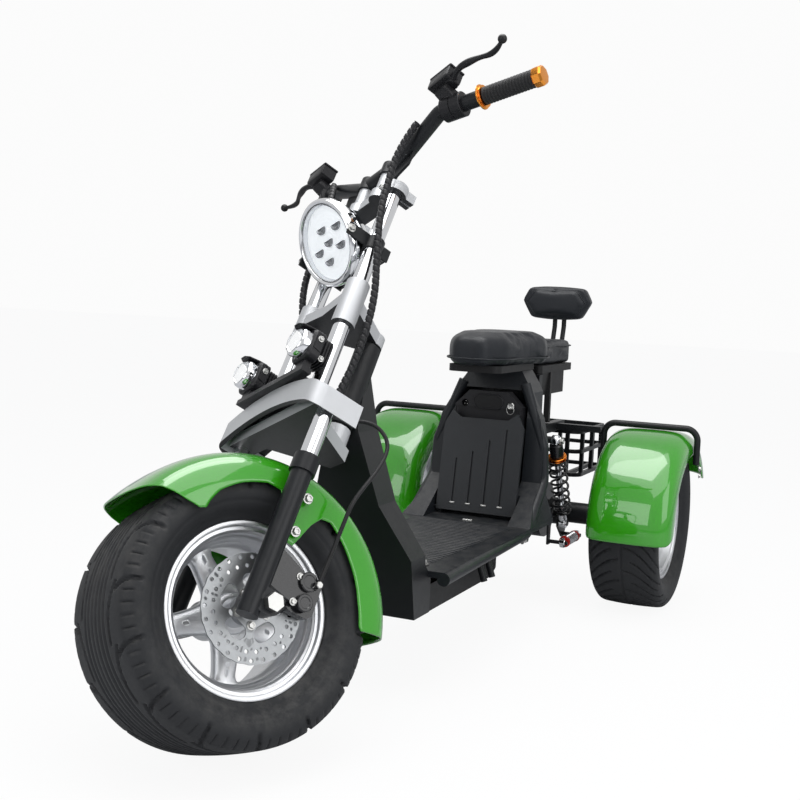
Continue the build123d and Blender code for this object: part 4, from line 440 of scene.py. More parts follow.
def front_tread(run, side, length):
    """Three ring grooves each side of the middle; on each shoulder fourteen long grooves that run round at the side and
    then turn out across it, with short sipes between each two."""
    grooves, sipes, shoulder, wall = 14, 5, 0.068, 0.128
    pitch = length / grooves
    depth = np.zeros(np.broadcast(run, side).shape)
    for ring in (0.007, 0.0215, 0.036):
        depth = np.maximum(depth, 0.0045 * cut(np.abs(side) - ring, 0.0017))
    for sign, lag in ((1, 0.0), (-1, 0.5)):
        out = side * sign
        phase = (run / length * grooves + lag) % 1
        round_run = out - (0.052 + 0.02 * phase**3)
        depth = np.maximum(depth, 0.006 * cut(round_run, 0.0026) * (phase < 0.985))
        bend = 0.16 * np.clip((0.122 - out) / 0.05, 0, 1) ** 2
        away = (phase - 1 + bend + 0.5) % 1 - 0.5
        cross_run = cut(away * pitch, 0.0028) * ((out > shoulder) & (out < wall))
        depth = np.maximum(depth, 0.0055 * cross_run * np.clip((wall - out) / 0.008, 0, 1))
        sipe = ((phase * sipes + 0.5) % 1 - 0.5) * pitch / sipes
        depth = np.maximum(depth, 0.0026 * cut(sipe, 0.0009) * ((out > 0.093) & (out < 0.116)))
        depth = np.maximum(depth, 0.0012 * cut(out - 0.146, 0.0008))
    return depth


def rear_tread(run, side, length):
    """Flame grooves: on each side forty-two slanted cuts that leave the middle and fade at the shoulder, every second
    one shorter, and one thin ring groove at the middle."""
    pairs = 21
    depth = 0.003 * cut(side + 0 * run, 0.0013)
    for sign, lag in ((1, 0.0), (-1, 0.5)):
        out = side * sign
        for start, end, share, half in ((0.006, 0.085, 0.0, 0.0022), (0.022, 0.1, 0.5, 0.0017)):
            slant = run - 1.9 * (0.1 - np.clip(out, 0, 0.1)) * (0.5 + out / 0.2)
            phase = (slant / length * pairs + lag + share) % 1 - 0.5
            taper = np.clip((out - start) / 0.02, 0, 1) * np.clip((end - out) / 0.03, 0, 1)
            depth = np.maximum(depth, 0.0055 * cut(phase * length / pairs, half * (0.4 + 0.6 * taper)) * (taper > 0))
    return depth


rake, steer = np.radians(38), np.radians(-35)
axis_up = np.array([-np.sin(rake), 0, np.cos(rake)])
ahead = np.array([np.cos(rake) * np.cos(steer), np.sin(steer), np.sin(rake) * np.cos(steer)])
leftward = np.cross(axis_up, ahead)
fork_foot = np.array([0.679899, 0, 0.194325])


def fork(points):
    """Points of the fork's frame (ahead of the steering axis, left, up the axis), or one, in the tricycle's frame."""
    return fork_foot + np.asarray(points, float) @ np.stack([ahead, leftward, axis_up])


def wheel_place(points, wheel):
    """Points about a wheel's own centre, with its axle along Y, set in the tricycle's frame."""
    points = np.reshape(points, (-1, 3))
    if wheel == "front_wheel":
        return fork(points + (wheel_ahead, 0, 0))
    return points + (axle_x, half_track if wheel == "rear_left_wheel" else -half_track, axle_z)


front_sizes, rear_sizes = (front_radius, front_half, front_half_rim), (rear_radius, rear_half, rear_half_rim)
tyre_rows = [("front_tyre_rubber", "front_tyre", "front_wheel", *front_sizes, 580, 132, front_tread),
             ("rear_left_tyre_rubber", "rear_left_tyre", "rear_left_wheel", *rear_sizes, 440, 106, rear_tread),
             ("rear_right_tyre_rubber", "rear_right_tyre", "rear_right_wheel", *rear_sizes, 440, 106, rear_tread)]
for name, solid, wheel, radius, half_width, half_rim, around, across_count, tread in tyre_rows:
    points, faces = tyre_surface(radius - 0.0002, half_width - 0.0002, half_rim, around, across_count, tread)
    made = build(name, wheel_place(points, wheel), faces, tyre_rubber, wheel, "tyre")
    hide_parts(solid)

# Wheels: silver cast aluminium. A turned barrel steps down from a bright lip to five broad domed spokes, with a hub
# boss in the middle. The lip is machined; the spokes keep the mould's fine sparkle.
cast_silver = finish("cast_silver", (0.66, 0.67, 0.69), 0.32, metal=1.0, scale=30, tone=0.16, spread=0.22,
                     grain=(1500, 0.6, 0.25), dust=0.03)


def loop_about_axle(outline, sides):
    """A closed (radius, side) outline turned about Y, so the surface is a closed ring."""
    radius, side = np.asarray(outline, float).T
    points = about_axle(radius[:, None], side[:, None], np.arange(sides) * 2 * pi / sides)
    return points, grid_faces(len(outline), sides, close_rows=True, close_columns=True)


def star_radius(outline, centre, angles):
    """How far a closed outline lies from a centre along each angle, by interpolation in angle."""
    offset = outline - centre
    at = np.arctan2(offset[:, 1], offset[:, 0])
    order = np.argsort(at)
    return np.interp(angles, at[order], np.hypot(*offset.T)[order], period=2 * pi)


def pierced_sectors(inner, outer, count, centre, window, layers, sides=96):
    """A ring cut in equal sectors, each with a window: between the sector's own outline (share 0) and the window's
    (share 1), points lie at the given (share, side) layers. Neighbours share their edges, so the ring is whole."""
    half = pi / count
    sweep = np.linspace(-half, half, 200)
    flank = np.linspace(inner, outer, 200)
    cos_half, sin_half = np.cos(half), np.sin(half)
    arcs = [np.stack([reach * np.cos(sweep), reach * np.sin(sweep)], -1) for reach in (inner, outer)]
    flanks = [np.stack([flank * cos_half, side * flank * sin_half], -1) for side in (1, -1)]
    outline = np.concatenate([arcs[0], flanks[0], arcs[1], flanks[1]])
    corners = np.array([(reach * cos_half, side * reach * sin_half) for reach in (inner, outer) for side in (1, -1)])
    to_corners = np.arctan2(*(corners - (centre, 0)).T[::-1])
    angles = np.sort(np.concatenate([np.linspace(-pi, pi, sides, endpoint=False), to_corners]))
    rim = star_radius(outline, (centre, 0), angles)
    hole = star_radius(window, (centre, 0), angles)
    share = np.asarray(layers)[:, :1]
    reach = rim + (hole - rim) * share
    x, z = centre + reach * np.cos(angles), reach * np.sin(angles)
    y = np.asarray(layers)[:, 1:2] * np.ones(len(angles))
    surfaces = []
    for step in range(count):
        c, s = np.cos(2 * half * step), np.sin(2 * half * step)
        surfaces.append((np.stack([x * c - z * s, y, x * s + z * c], -1),
                         grid_faces(len(layers), len(angles), close_rows=True, close_columns=True)))
    return joined(surfaces)


wheel_rows = [("front_cast_wheel", "front_rim", "front_wheel", *front_sizes, 1),
              ("rear_left_cast_wheel", "rear_left_rim", "rear_left_wheel", *rear_sizes, 1),
              ("rear_right_cast_wheel", "rear_right_rim", "rear_right_wheel", *rear_sizes, -1)]
for name, solid, wheel, radius, _, half_rim, face in wheel_rows:
    bead, deep = radius * bead_share, half_rim * 0.24
    flange = bead + flange_rise
    lip = (flange, half_rim) + mm((0, -0.5), (-0.7, 0), (-5.5, 0), (-7.5, -1))
    step = (bead, half_rim) + mm((5.8, -6), (4.5, -8), (-3.5, -9.5), (-4.8, -11))
    well = (bead, deep) + mm((-6.2, 46), (-9.5, 44), (-10.8, 42), (-11.5, 30), (-14, 28), (-15, 26), (-15.5, 14),
                             (-19.5, 9), (-19.5, -8), (-9.5, -12))
    back = [(bead - 0.0065, -half_rim + 0.012), (bead + 0.0058, -half_rim + 0.006), (flange - 0.006, -half_rim),
            (flange, -half_rim)]
    seat = half_rim - 0.007
    barrel = [*lip, *step, *well, *back, (flange, -seat), (bead, -seat), (bead, seat), (flange, seat)]
    edge = bead - 0.015
    window = smooth_line(edge * mirrored([(0.46, 0), (0.5, 0.09), (0.66, 0.25), (0.82, 0.375), (0.905, 0.36),
                                          (0.965, 0.18), (0.985, 0)]), 400)
    layers = [(share, deep + side) for share, side in (
        (0, 0.013), (0.25, 0.0128), (0.5, 0.012), (0.72, 0.0105), (0.88, 0.008), (0.97, 0.004), (1, -0.001),
        (0.97, -0.007), (0.8, -0.008), (0, -0.008))]
    spokes = pierced_sectors(0.03, edge, 5, edge * 0.74, window, layers)
    bore, hub_end = 0.0101, half_rim * 0.8
    hub = loop_about_axle([(bore, -hub_end), (0.03, -hub_end), (0.0335, -half_rim * 0.75), (0.034, deep - 0.006),
                           (0.034, deep + 0.016), (0.031, deep + 0.019), (0.024, deep + 0.02),
                           (0.022, half_rim * 0.78), (0.0205, hub_end), (bore, hub_end)], 64)
    points, faces = joined([loop_about_axle(barrel, 128), spokes, hub])
    made = build(name, wheel_place(points * (1, face, 1), wheel), faces, cast_silver, wheel, "silver_cast", sharp=50)
    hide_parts(solid)
dress(zinc, "front_axle")

# Brake: a ground steel disc with two rings of holes and a wavy edge, on five arms; a black caliper and its plate are
# bolted behind the left leg, and the hose's union sits on top.
ground_steel = finish("ground_steel", (0.3, 0.31, 0.32), 0.42, metal=1.0, scale=60, tone=0.2, spread=0.25,
                      grain=(900, 0.1, 0.12), dust=0.02)
angle = np.linspace(-pi, pi, 48, endpoint=False)
plates = []
disc_half, hole_radius, hole_count = 0.0015, 0.0033, 24
for inner, outer, lag in ((0.06, 0.074, 0), (0.074, 0.0872, 0.5)):
    middle = (inner + outer) / 2
    hole = np.stack([middle + hole_radius * np.cos(angle), hole_radius * np.sin(angle)], -1)
    layers = [(0, disc_half), (0.5, disc_half), (0.97, disc_half), (1, 0.0009), (1, -0.0009), (0.97, -disc_half),
              (0, -disc_half)]
    ring_points, ring_faces = pierced_sectors(inner, outer, hole_count, middle, hole, layers, 28)
    spin = lag * 2 * pi / hole_count
    ring_points = np.stack([ring_points[:, 0] * np.cos(spin) - ring_points[:, 2] * np.sin(spin), ring_points[:, 1],
                            ring_points[:, 0] * np.sin(spin) + ring_points[:, 2] * np.cos(spin)], -1)
    plates.append((ring_points, ring_faces))
arm_window = smooth_line(mirrored(mm((30, 0), (31, 12), (38, 18.5), (46, 19), (52.5, 14.5), (55.5, 0))), 200)
layers = [(0, disc_half), (0.95, disc_half), (1, 0.0008), (1, -0.0008), (0.95, -disc_half), (0, -disc_half)]
plates.append(pierced_sectors(0.022, 0.06, 5, 0.0435, arm_window, layers, 64))
disc_points, disc_faces = joined(plates)
outer_now = np.hypot(disc_points[:, 0], disc_points[:, 2])
lobes = (1 + np.cos(hole_count * np.arctan2(disc_points[:, 2], disc_points[:, 0]))) / 2
wave = np.where(outer_now > 0.0865, 1 - 0.012 * lobes, 1)[:, None]
disc_points = np.where([True, False, True], disc_points * wave, disc_points) + (0, 0.099, 0)
carrier = loop_about_axle(mm((10.1, 69.7), (23, 69.7), (23, 100), (21.5, 100.5), (10.1, 100.5)), 48)
disc_points, disc_faces = joined([(disc_points, disc_faces), carrier])
made = build("pierced_disc", wheel_place(disc_points, "front_wheel"), disc_faces, ground_steel, "front_wheel",
             "steel", sharp=40)
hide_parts("brake_disc")
bolt_turn = np.arange(5) * 2 * pi / 5 + 0.6
bolt_points, bolt_faces = joined([hex_head(place, (0, 1, 0), 0.01) for place in about_axle(0.027, 0.1008, bolt_turn)])
build("disc_bolts", wheel_place(bolt_points, "front_wheel"), bolt_faces, zinc, "front_wheel", "steel", sharp=35)
caliper_black = finish("caliper_black", (0.012, 0.012, 0.014), 0.22, coat=0.4, grain=(800, 0.3, 0.1), dust=0.03)
dress(caliper_black, "brake_caliper")

# Front mudguard: one pressed and painted steel sheet over the wheel, with a pointed nose, a lobe low on each side, and
# a tongue down inside each leg, where two flanged screws hold it. The paint is a deep gloss green.
green_gloss = finish("green_gloss", (0.028, 0.31, 0.003), 0.25, coat=1.0, scale=3, tone=0.06, spread=0.05,
                     grain=(300, 0.1, 0.015), dust=0.04)
guard_section = smooth_line(mm((0, 258.5), (45, 257), (80, 252), (103, 242.5), (114.5, 230), (119.5, 215), (123, 190),
                               (126.2, 150), (129, 112)), 200)
edge_rows = np.array([(20.6, 0.0), (20.9, 0.03), (21.6, 0.062), (23.5, 0.098), (26, 0.128), (29, 0.156), (32, 0.176),
                      (35, 0.181), (39, 0.174), (46, 0.165), (58, 0.159), (72, 0.156), (79, 0.162), (82, 0.185),
                      (84.5, 0.225), (88, 0.247), (93, 0.2495), (97, 0.242), (99.5, 0.222), (102, 0.19),
                      (105, 0.168), (110, 0.16), (131, 0.168), (152, 0.172), (164, 0.17), (166.5, 0.165)])
turn = np.concatenate([np.linspace(20.6, 32, 50), np.linspace(32.4, 79, 60), np.linspace(79.4, 108, 90),
                       np.linspace(108.6, 166.5, 50)])


def arch(section, turn, reach, columns):
    """A mudguard about its axle: at each angle of the turn, in degrees, the (side, radius) section is followed as far
    as the reach to each side, in even steps of its run."""
    share = np.linspace(-1, 1, columns)
    run = np.abs(share)[None] * reach[:, None]
    side = np.sign(share)[None] * np.interp(run, run_of(section), section[:, 0])
    return about_axle(np.interp(run, run_of(section), section[:, 1]), side, np.radians(turn)[:, None])


def guard_sheet(name, solid, points, body):
    """A painted sheet 2.4 mm thick through a grid of points, in a CAD solid's place."""
    made = build(name, points, grid_faces(*points.shape[:2]), green_gloss, body, "guard_paint")
    wall = made.modifiers.new("sheet", "SOLIDIFY")
    wall.thickness, wall.offset = 0.0024, 0
    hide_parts(solid)


reach = np.minimum(np.interp(turn, *edge_rows.T), run_of(guard_section)[-1])
front_arch = fork(arch(guard_section, turn, reach, 71) + (wheel_ahead, 0, 0))
guard_sheet("front_guard_sheet", "front_mudguard", front_arch, "steering")
screws = [hex_head(fork((0.067, sign * 0.1335, up)), leftward * sign, 0.012)
          for up in (0.1936, 0.1333) for sign in (1, -1)]
fixings("guard_screws", screws, "steering", 35)

# Rear mudguards: the same painted sheet, an arch with a flat crown, wide rounded shoulders, short skirts and round
# ends. Each hangs under the tube hoop that crosses over it.
guard_side = 0.329
rear_section = smooth_line(mm((0, 234), (35, 233.6), (62, 231.8), (82, 226.2), (94, 217), (100.5, 206), (103.2, 194),
                              (103.6, 180)), 160)
first, last, round_end, full_reach = -4.5, 151.5, 9, 0.14
turn = np.linspace(first, last, 130)
from_end = np.minimum(turn - first, last - turn)
reach = full_reach - 0.04 * (1 - np.clip(from_end / round_end, 0, 1)) ** 2.2
rear_arch = arch(rear_section, turn, reach, 57)
hands = (("left", 1), ("right", -1))
for label, sign in hands:
    place = (axle_x, sign * guard_side, axle_z)
    guard_sheet("rear_guard_sheet_" + label, "rear_mudguard_" + label, rear_arch + place, "body")

# Fork: black cast lower legs on chrome tubes, silver cast yokes, and sleeves with clamps round the upper tubes. The
# yokes are open below, and their undersides carry painted shade: faces that look down go towards near-black.
leg_black = finish("leg_black", (0.011, 0.012, 0.014), 0.3, grain=(900, 0.3, 0.12), dust=0.03)
dress(leg_black, "fork_leg_left", "fork_leg_right")
chrome = finish("chrome_plate", (0.74, 0.75, 0.77), 0.06, metal=1.0, scale=10, tone=0.05, spread=0.05,
                grain=(200, 0, 0.0), dust=0.02)
dress(chrome, "fork_tube_left", "fork_tube_right", "upper_tube_left", "upper_tube_right")
yoke_silver = finish("yoke_silver", (0.5, 0.51, 0.525), 0.42, metal=0.45, scale=20, tone=0.08, spread=0.1,
                     grain=(1300, 0.5, 0.12), dust=0.04)
yoke_tree = yoke_silver.node_tree
yoke_shader = yoke_tree.nodes["Principled BSDF"]
# Painted shade: the cast tone is mixed towards near-black where the surface faces down the steering axis.
yoke_face = node(yoke_tree, "ShaderNodeNewGeometry").outputs["Normal"]
downward = node(yoke_tree, "ShaderNodeVectorMath", {0: yoke_face, 1: tuple(axis_up)}, operation="DOT_PRODUCT")
underside_painted_shade = node(yoke_tree, "ShaderNodeMapRange", {0: downward.outputs["Value"], 1: -0.25, 2: -0.6})
cast_tone = yoke_shader.inputs["Base Color"].links[0].from_socket
yoke_shaded_mix = node(yoke_tree, "ShaderNodeMix", {0: underside_painted_shade.outputs[0], 6: cast_tone, 7: (0.02, 0.021, 0.023, 1)},
                data_type="RGBA")
feed(yoke_shader, {"Base Color": yoke_shaded_mix.outputs[2]})
dress(yoke_silver, "lower_yoke", "middle_yoke", "top_yoke")

# Handlebar and controls: a fat black bar, moulded perches with curved levers, and grips of ribbed rubber between an
# orange-gold anodised flange and a faceted end.
dress(leg_black, "handlebar")
gold = finish("gold_anodised", (0.85, 0.32, 0.05), 0.2, metal=1.0, scale=30, tone=0.1, spread=0.1,
              grain=(900, 0.2, 0.05), dust=0.02)
grip_rubber = finish("grip_rubber", (0.018, 0.018, 0.019), 0.6, grain=(1600, 0.7, 0.25), dust=0.05)
bar_end, bar_bend = np.array([0.048, 0.402, 1.019]), np.array([0.12, 0.192, 0.996])
for label, sign in hands:
    end, bend = (fork(point * (1, sign, 1)) for point in (bar_end, bar_bend))
    out = (end - bend) / np.linalg.norm(end - bend)
    start = end - out * 0.133
    rings = np.linspace(0.0, 0.104, 209)
    ribs = 0.0163 + 0.0006 * np.clip(np.sin(rings * 2 * pi / 0.0065) * 2, -1, 1)
    sleeve = [(0, 0.0093), *zip(ribs, rings + 0.0093), (0, 0.1133)]
    flange = mm((0, 0.3), (21.5, 0.3), (23.8, 2), (23.8, 3.5), (19.5, 5.5), (19.5, 7.2), (21.2, 8.6), (0, 9))
    cap = mm((0, 113.5), (17.8, 113.5), (19.2, 115.5), (19.2, 128.5), (16.5, 132.5), (9, 133), (0, 133))
    build("grip_sleeve_" + label, *turned(sleeve, start, out, 40), grip_rubber, "steering", "rubber", sharp=45)
    ends = joined([turned(flange, start, out, 48), turned(cap, start, out, 48, flats=8)])
    made = build("grip_ends_" + label, *ends, gold, "steering", "rubber", sharp=25)
    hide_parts("grip_" + label)

# Headlight: a chromed steel bowl with a stepped bezel, a pale reflector with six dark half-round projectors, and a
# clear moulded lens. The reflector glows faintly, as painted light. Two arms clamp it to the upper tubes, each with
# one flanged screw.
lamp_face = np.array([0.163, 0, 0.73])
tilt = np.radians(44)
lamp_way = np.cos(tilt) * ahead - np.sin(tilt) * axis_up
lamp_up = np.sin(tilt) * ahead + np.cos(tilt) * axis_up
bezel = mm((79, -20), (82.8, -19.8), (83.8, -18.8), (84, -13), (83.3, -12), (83.3, -11.2), (84, -10.2), (83.8, -6.6),
           (82.6, -3), (80.8, -1), (78.6, -0.2), (76.4, -0.8), (74.4, -2.6), (73.6, -5.6), (70.4, -6), (69.2, -16),
           (0, -16.2))
cup = smooth_line(mm((25.6, -80.7), (46.5, -70), (63.8, -53), (73.6, -35.3), (78.5, -20.5)), 24)
bowl = [(0, -0.084), *cup, *bezel]
made = build("headlight_bowl", *turned(bowl, fork(lamp_face), lamp_way, 96), chrome, "steering", "chrome", sharp=35)
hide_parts("headlight")
reflector_white_glow = finish("reflector_white_glow", (0.9, 0.91, 0.92), 0.3, scale=30, tone=0.06, spread=0.1,
                         grain=(500, 0.2, 0.02), dust=0)
ring_width, mirror_edge, mirror_depth = 0.0075, 0.0688, -0.014
steps = [(min(ring_width * (ring + half), mirror_edge), mirror_depth - 0.0009 * half)
         for ring in range(9) for half in (0.15, 0.5, 0.85)]
rings = [(0, -0.0155), *steps, (mirror_edge, mirror_depth), (mirror_edge, -0.0158), (0, -0.0158)]
build("headlight_reflector", *turned(rings, fork(lamp_face), lamp_way, 72), reflector_white_glow, "steering",
      "chrome", sharp=50)
# Painted light: the reflector glows faintly white, standing in for the light that falls on it through the lens.
feed(reflector_white_glow.node_tree.nodes["Principled BSDF"],
     {"Emission Color": (0.94, 0.97, 1.0, 1), "Emission Strength": 0.38})
projector_grey = finish("projector_grey", (0.26, 0.265, 0.275), 0.28, metal=0.6, scale=60, tone=0.2,
                        grain=(500, 0.2, 0.02), dust=0)


def half_round(centre, radius):
    """A projector cup: a half circle, flat side up, carried through a table of (share, height) to its middle."""
    arc = np.linspace(pi, 2 * pi, 25)
    outline = np.concatenate([np.stack([np.cos(arc), np.sin(arc) + 0.42], -1),
                              np.stack([np.linspace(0.9, -0.9, 10), np.full(10, 0.42)], -1)])
    rows = np.array([(0, 0), (1, 0), (1, 0.004), (0.93, 0.0052), (0.84, 0.0042), (0.6, 0.0022), (0.3, 0.0012),
                     (0, 0.001)])
    flat = centre + outline[None] * rows[:, :1, None] * radius
    lift = np.broadcast_to(rows[:, 1:, None], (len(rows), len(outline), 1))
    local = np.concatenate([flat, lift - 0.0145], -1)
    placed = fork(lamp_face) + local[..., :1] * leftward + local[..., 1:2] * lamp_up + local[..., 2:] * lamp_way
    return placed.reshape(-1, 3), grid_faces(len(rows), len(outline), close_columns=True)


cup_places = mm((36, 19), (-10, 27), (0, -1), (32, -17), (-38, -9), (-16, -34))
cups = [half_round(place, 0.0125) for place in cup_places]
build("headlight_projectors", *joined(cups), projector_grey, "steering", "chrome", sharp=40)
clear_lens = bpy.data.materials.new("clear_lens")
clear_lens.use_nodes = True
lens_tree = clear_lens.node_tree
lens_spot = node(lens_tree, "ShaderNodeTexCoord").outputs["Object"]
lens_skin = node(lens_tree, "ShaderNodeGroup", {"Vector": lens_spot, "Scale": 160}, node_tree=pebbled)
lens_bump = node(lens_tree, "ShaderNodeBump",
                 {"Height": lens_skin.outputs["Height"], "Strength": 0.02, "Distance": 0.001})
feed(lens_tree.nodes["Principled BSDF"], {"Normal": lens_bump.outputs[0], "Base Color": (0.97, 0.98, 0.99, 1),
                                          "Roughness": 0.03, "IOR": 1.3, "Transmission Weight": 1.0})
dome = mm((0, -2.2), (30, -2.6), (55, -3.6), (72.8, -5.3), (73.1, -4.4), (70, -3), (55, -1.6), (30, -0.6), (0, -0.3))
made = build("headlight_glass", *turned(dome, fork(lamp_face), lamp_way, 96), clear_lens, "steering",
             "lamp_glass", sharp=60)
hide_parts("headlight_lens")
arm_screws = [hex_head(fork((0.157, sign * 0.088, 0.73)), leftward * sign, 0.011) for sign in (1, -1)]
fixings("lamp_arm_screws", arm_screws, "steering", 35)

# Spot lamps: two die-cast black boxes, finned at the back, with a visor over a bright ring and a domed lens. Each
# stands on the black cross bar that two clamps hold in front of the tubes.
lamp_black = finish("lamp_black", (0.012, 0.012, 0.014), 0.36, grain=(1300, 0.5, 0.12), dust=0.04)
dress(lamp_black, "spot_bar")


def box_loft(stations, corner=4.0):
    """A closed loft ahead along the fork frame: at each (ahead, left, up, half width, half height) a superellipse of
    this power, with a last point in the middle at each end."""
    angle = np.linspace(0, 2 * pi, 48, endpoint=False)
    across = np.sign(np.cos(angle)) * np.abs(np.cos(angle)) ** (2 / corner)
    upward = np.sign(np.sin(angle)) * np.abs(np.sin(angle)) ** (2 / corner)
    rows = np.array([(*stations[0][:3], 0, 0), *stations, (*stations[-1][:3], 0, 0)])
    points = np.stack([np.repeat(rows[:, :1], 48, 1), rows[:, 1:2] + rows[:, 3:4] * across,
                       rows[:, 2:3] + rows[:, 4:5] * upward], -1)
    return fork(points.reshape(-1, 3)), grid_faces(len(rows), 48, close_columns=True)


for label, sign in hands:
    y, up = sign * 0.098, 0.455
    fin = mm((0, 21.5, 22.5), (0.2, 25, 25), (2.6, 25, 25), (2.8, 21.5, 22.5))
    fins = np.concatenate([fin + (start, 0, 0) for start in (0.1185, 0.124, 0.1295)])
    front = mm((135, 22.5, 23), (137.5, 29.5, 28), (139, 31, 29), (156, 31, 29), (159, 29, 28), (161.2, 26.2, 26.2))
    stations = [*mm((116.2, 21.5, 22.5)), *fins, *front]
    shell = box_loft([(n, y, up, half, tall) for n, half, tall in stations], 5.5)
    plates = [box_loft([(0.1405, y + side * 0.0312, up + 0.004, 0.0016, 0.017),
                        (0.155, y + side * 0.0312, up + 0.002, 0.0016, 0.012)], 6) for side in (1, -1)]
    visor = box_loft([(0.144, y, up + 0.0285, 0.021, 0.003), (0.16, y, up + 0.0293, 0.02, 0.0016),
                      (0.18, y, up + 0.029, 0.015, 0.0012), (0.187, y, up + 0.0282, 0.007, 0.001)], 6)
    foot = box_loft([(0.139, y, 0.4235, 0.0135, 0.0115), (0.14, y, 0.4235, 0.0145, 0.012),
                     (0.153, y, 0.4235, 0.0145, 0.012), (0.154, y, 0.4235, 0.0135, 0.0115)], 8)
    made = build("spot_housing_" + label, *joined([shell, *plates, visor, foot]), lamp_black, "steering",
                 "black_plastic", sharp=30)
    ring_places = fork((0.159, y, up))
    ring = turned(mm((0, 0), (26.2, 0), (27.4, 1), (27.8, 4), (27.8, 12), (27, 16), (25.2, 18.2), (23.2, 18.4),
                     (22.2, 17), (20, 12), (0, 10)), ring_places, ahead, 64)
    rim = build("spot_ring_" + label, *ring, chrome, "steering", "chrome", sharp=40)
    glass = turned(mm((0, 13), (21.6, 14.2), (22.1, 18), (20.6, 21.5), (17, 25.2), (11, 28), (5, 29.2), (0, 29.4)),
                   ring_places, ahead, 48)
    bead = build("spot_glass_" + label, *glass, clear_lens, "steering", "lamp_glass", sharp=50)
    for piece in (made, rim, bead):
        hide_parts("spot_lamp_" + label)
    side_screws = [hex_head(fork((n, y + side * out, at)), leftward * side, 0.0075) for side in (1, -1)
                   for n, out, at in ((0.1475, 0.0326, up + 0.01), (0.132, 0.0248, 0.436))]
    fixings("spot_screws_" + label, side_screws, "steering", 35)

# Cables: two looms from the bar to the neck and a brake hose from the lower yoke to the caliper. Each loom is a
# corrugated black tube wrapped with a flat spiral strip, and the hose is smooth rubber. They are clipped along their
# whole length, so they turn with the fork and are no free cords.


def vertices_of(mesh):
    """The places of a mesh's points."""
    places = np.empty(len(mesh.vertices) * 3)
    mesh.vertices.foreach_get("co", places)
    return places.reshape(-1, 3)


def route(name, points):
    """The NURBS line of a cable's route, as Blender gives it: order 3, starting and ending on the route's ends."""
    curve = bpy.data.curves.new(name, "CURVE")
    curve.dimensions = "3D"
    curve.resolution_u = 24
    line = curve.splines.new("NURBS")
    line.points.add(len(points) - 1)
    line.points.foreach_set("co", np.concatenate([fork(points), np.ones((len(points), 1))], 1).ravel())
    line.order_u = 3
    line.use_endpoint_u = True
    holder = in_scene(name, curve)
    mesh = bpy.data.meshes.new_from_object(holder)
    path = vertices_of(mesh)
    bpy.data.meshes.remove(mesh)
    bpy.data.objects.remove(holder)
    bpy.data.curves.remove(curve)
    return path


def evenly(path, step):
    """The same line with its points a fixed step apart, by interpolation over its length."""
    along = run_of(path)
    marks = np.linspace(0, along[-1], int(along[-1] / step) + 2)
    return np.stack([np.interp(marks, along, path[:, k]) for k in range(3)], -1), marks


wrap_black = finish("wrap_black", (0.016, 0.016, 0.018), 0.34, grain=(1100, 0.3, 0.1), dust=0.04)
hose_black = finish("hose_black", (0.013, 0.013, 0.014), 0.42, grain=(1600, 0.5, 0.15), dust=0.04)
loom_rows = [
    ("left", mm((138.6, 150, 978), (142, 118, 925), (132, 108, 850), (122, 109, 770), (98, 110, 690), (74, 109, 620),
                (60, 98, 550), (54, 84, 470), (60, 73, 397.4))),
    ("right", mm((138.6, -150, 978), (144, -117, 925), (136, -109, 850), (132, -112, 770), (126, -112, 690),
                 (99, -109.4, 620), (84, -112, 540), (74, -113, 460), (70, -112, 391))),
]
for label, points in loom_rows:
    path, marks = evenly(route("loom_route", points), 0.0011)
    turn = np.arange(28) * 2 * pi / 28
    phase = (marks[:, None] / 0.0125 + turn[None] / (2 * pi)) % 1
    strip = np.clip((0.4 - np.abs(phase - 0.5)) / 0.05, 0, 1)
    made = build("loom_wrap_" + label, *along_path(path, 0.0052 + 0.0017 * strip, 28), wrap_black, "steering",
                 "rubber", sharp=50)
    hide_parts("loom_" + label)
hose = route("hose_route", mm((-0.4, 140.2, 69.8), (0, 148, 130), (4, 160, 175), (8, 172, 215), (-22, 172, 300),
                              (-22, 166, 350), (20, 150, 372), (46, 128, 356)))
made = build("brake_hose_line", *along_path(evenly(hose, 0.004)[0], 0.0035, 16), hose_black, "steering", "rubber")
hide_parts("brake_hose")

# Fork bolts: socket bolts of plated steel pinch the split clamps of the top yoke and hold the bar's risers. Each is
# turned, with a chamfered rim and a round socket.
bolt_rows = [((0.1265, 0.08, 0.858), ahead), ((0.1265, -0.08, 0.858), ahead),
             ((0.108, 0.0535, 0.9), leftward), ((0.108, -0.0535, 0.9), -leftward)]
socket_head = mm((0, 0), (5.4, 0), (5.8, 0.6), (5.8, 5.4), (5.2, 6.2), (3.2, 6.2), (3, 3), (0, 3))
fixings("yoke_bolts", [turned(socket_head, fork(place), axis, 20) for place, axis in bolt_rows], "steering", 35)

# Caliper casting: two round piston bosses on the black caliper, with two bright bolts to the leg's lugs and a
# banjo bolt where the hose ends.
caliper_face = 0.1306
bosses = [turned([(0, 0), (radius, 0), (radius, 0.005), (radius - 0.0015, 0.0066), (radius - 0.005, 0.0066),
                  (radius - 0.006, 0.0056), (0, 0.0056)], fork((n, caliper_face, at)), leftward, 36)
          for n, at, radius in ((0.014, 0.07, 0.016), (0.009, 0.036, 0.0145))]
build("caliper_bosses", *joined(bosses), caliper_black, "steering", "black_paint", sharp=35)
bright = [hex_head(fork((n, caliper_face, at)), leftward, 0.0085) for n, at in ((0.03, 0.072), (0.027, 0.03))]
banjo = turned(mm((0, 0), (6.2, 0), (6.2, 6), (5, 7.2), (0, 7.2)), fork((0, 0.1402, 0.07)), leftward, 24, flats=6)
fixings("caliper_bolts", bright + [banjo], "steering", 35)

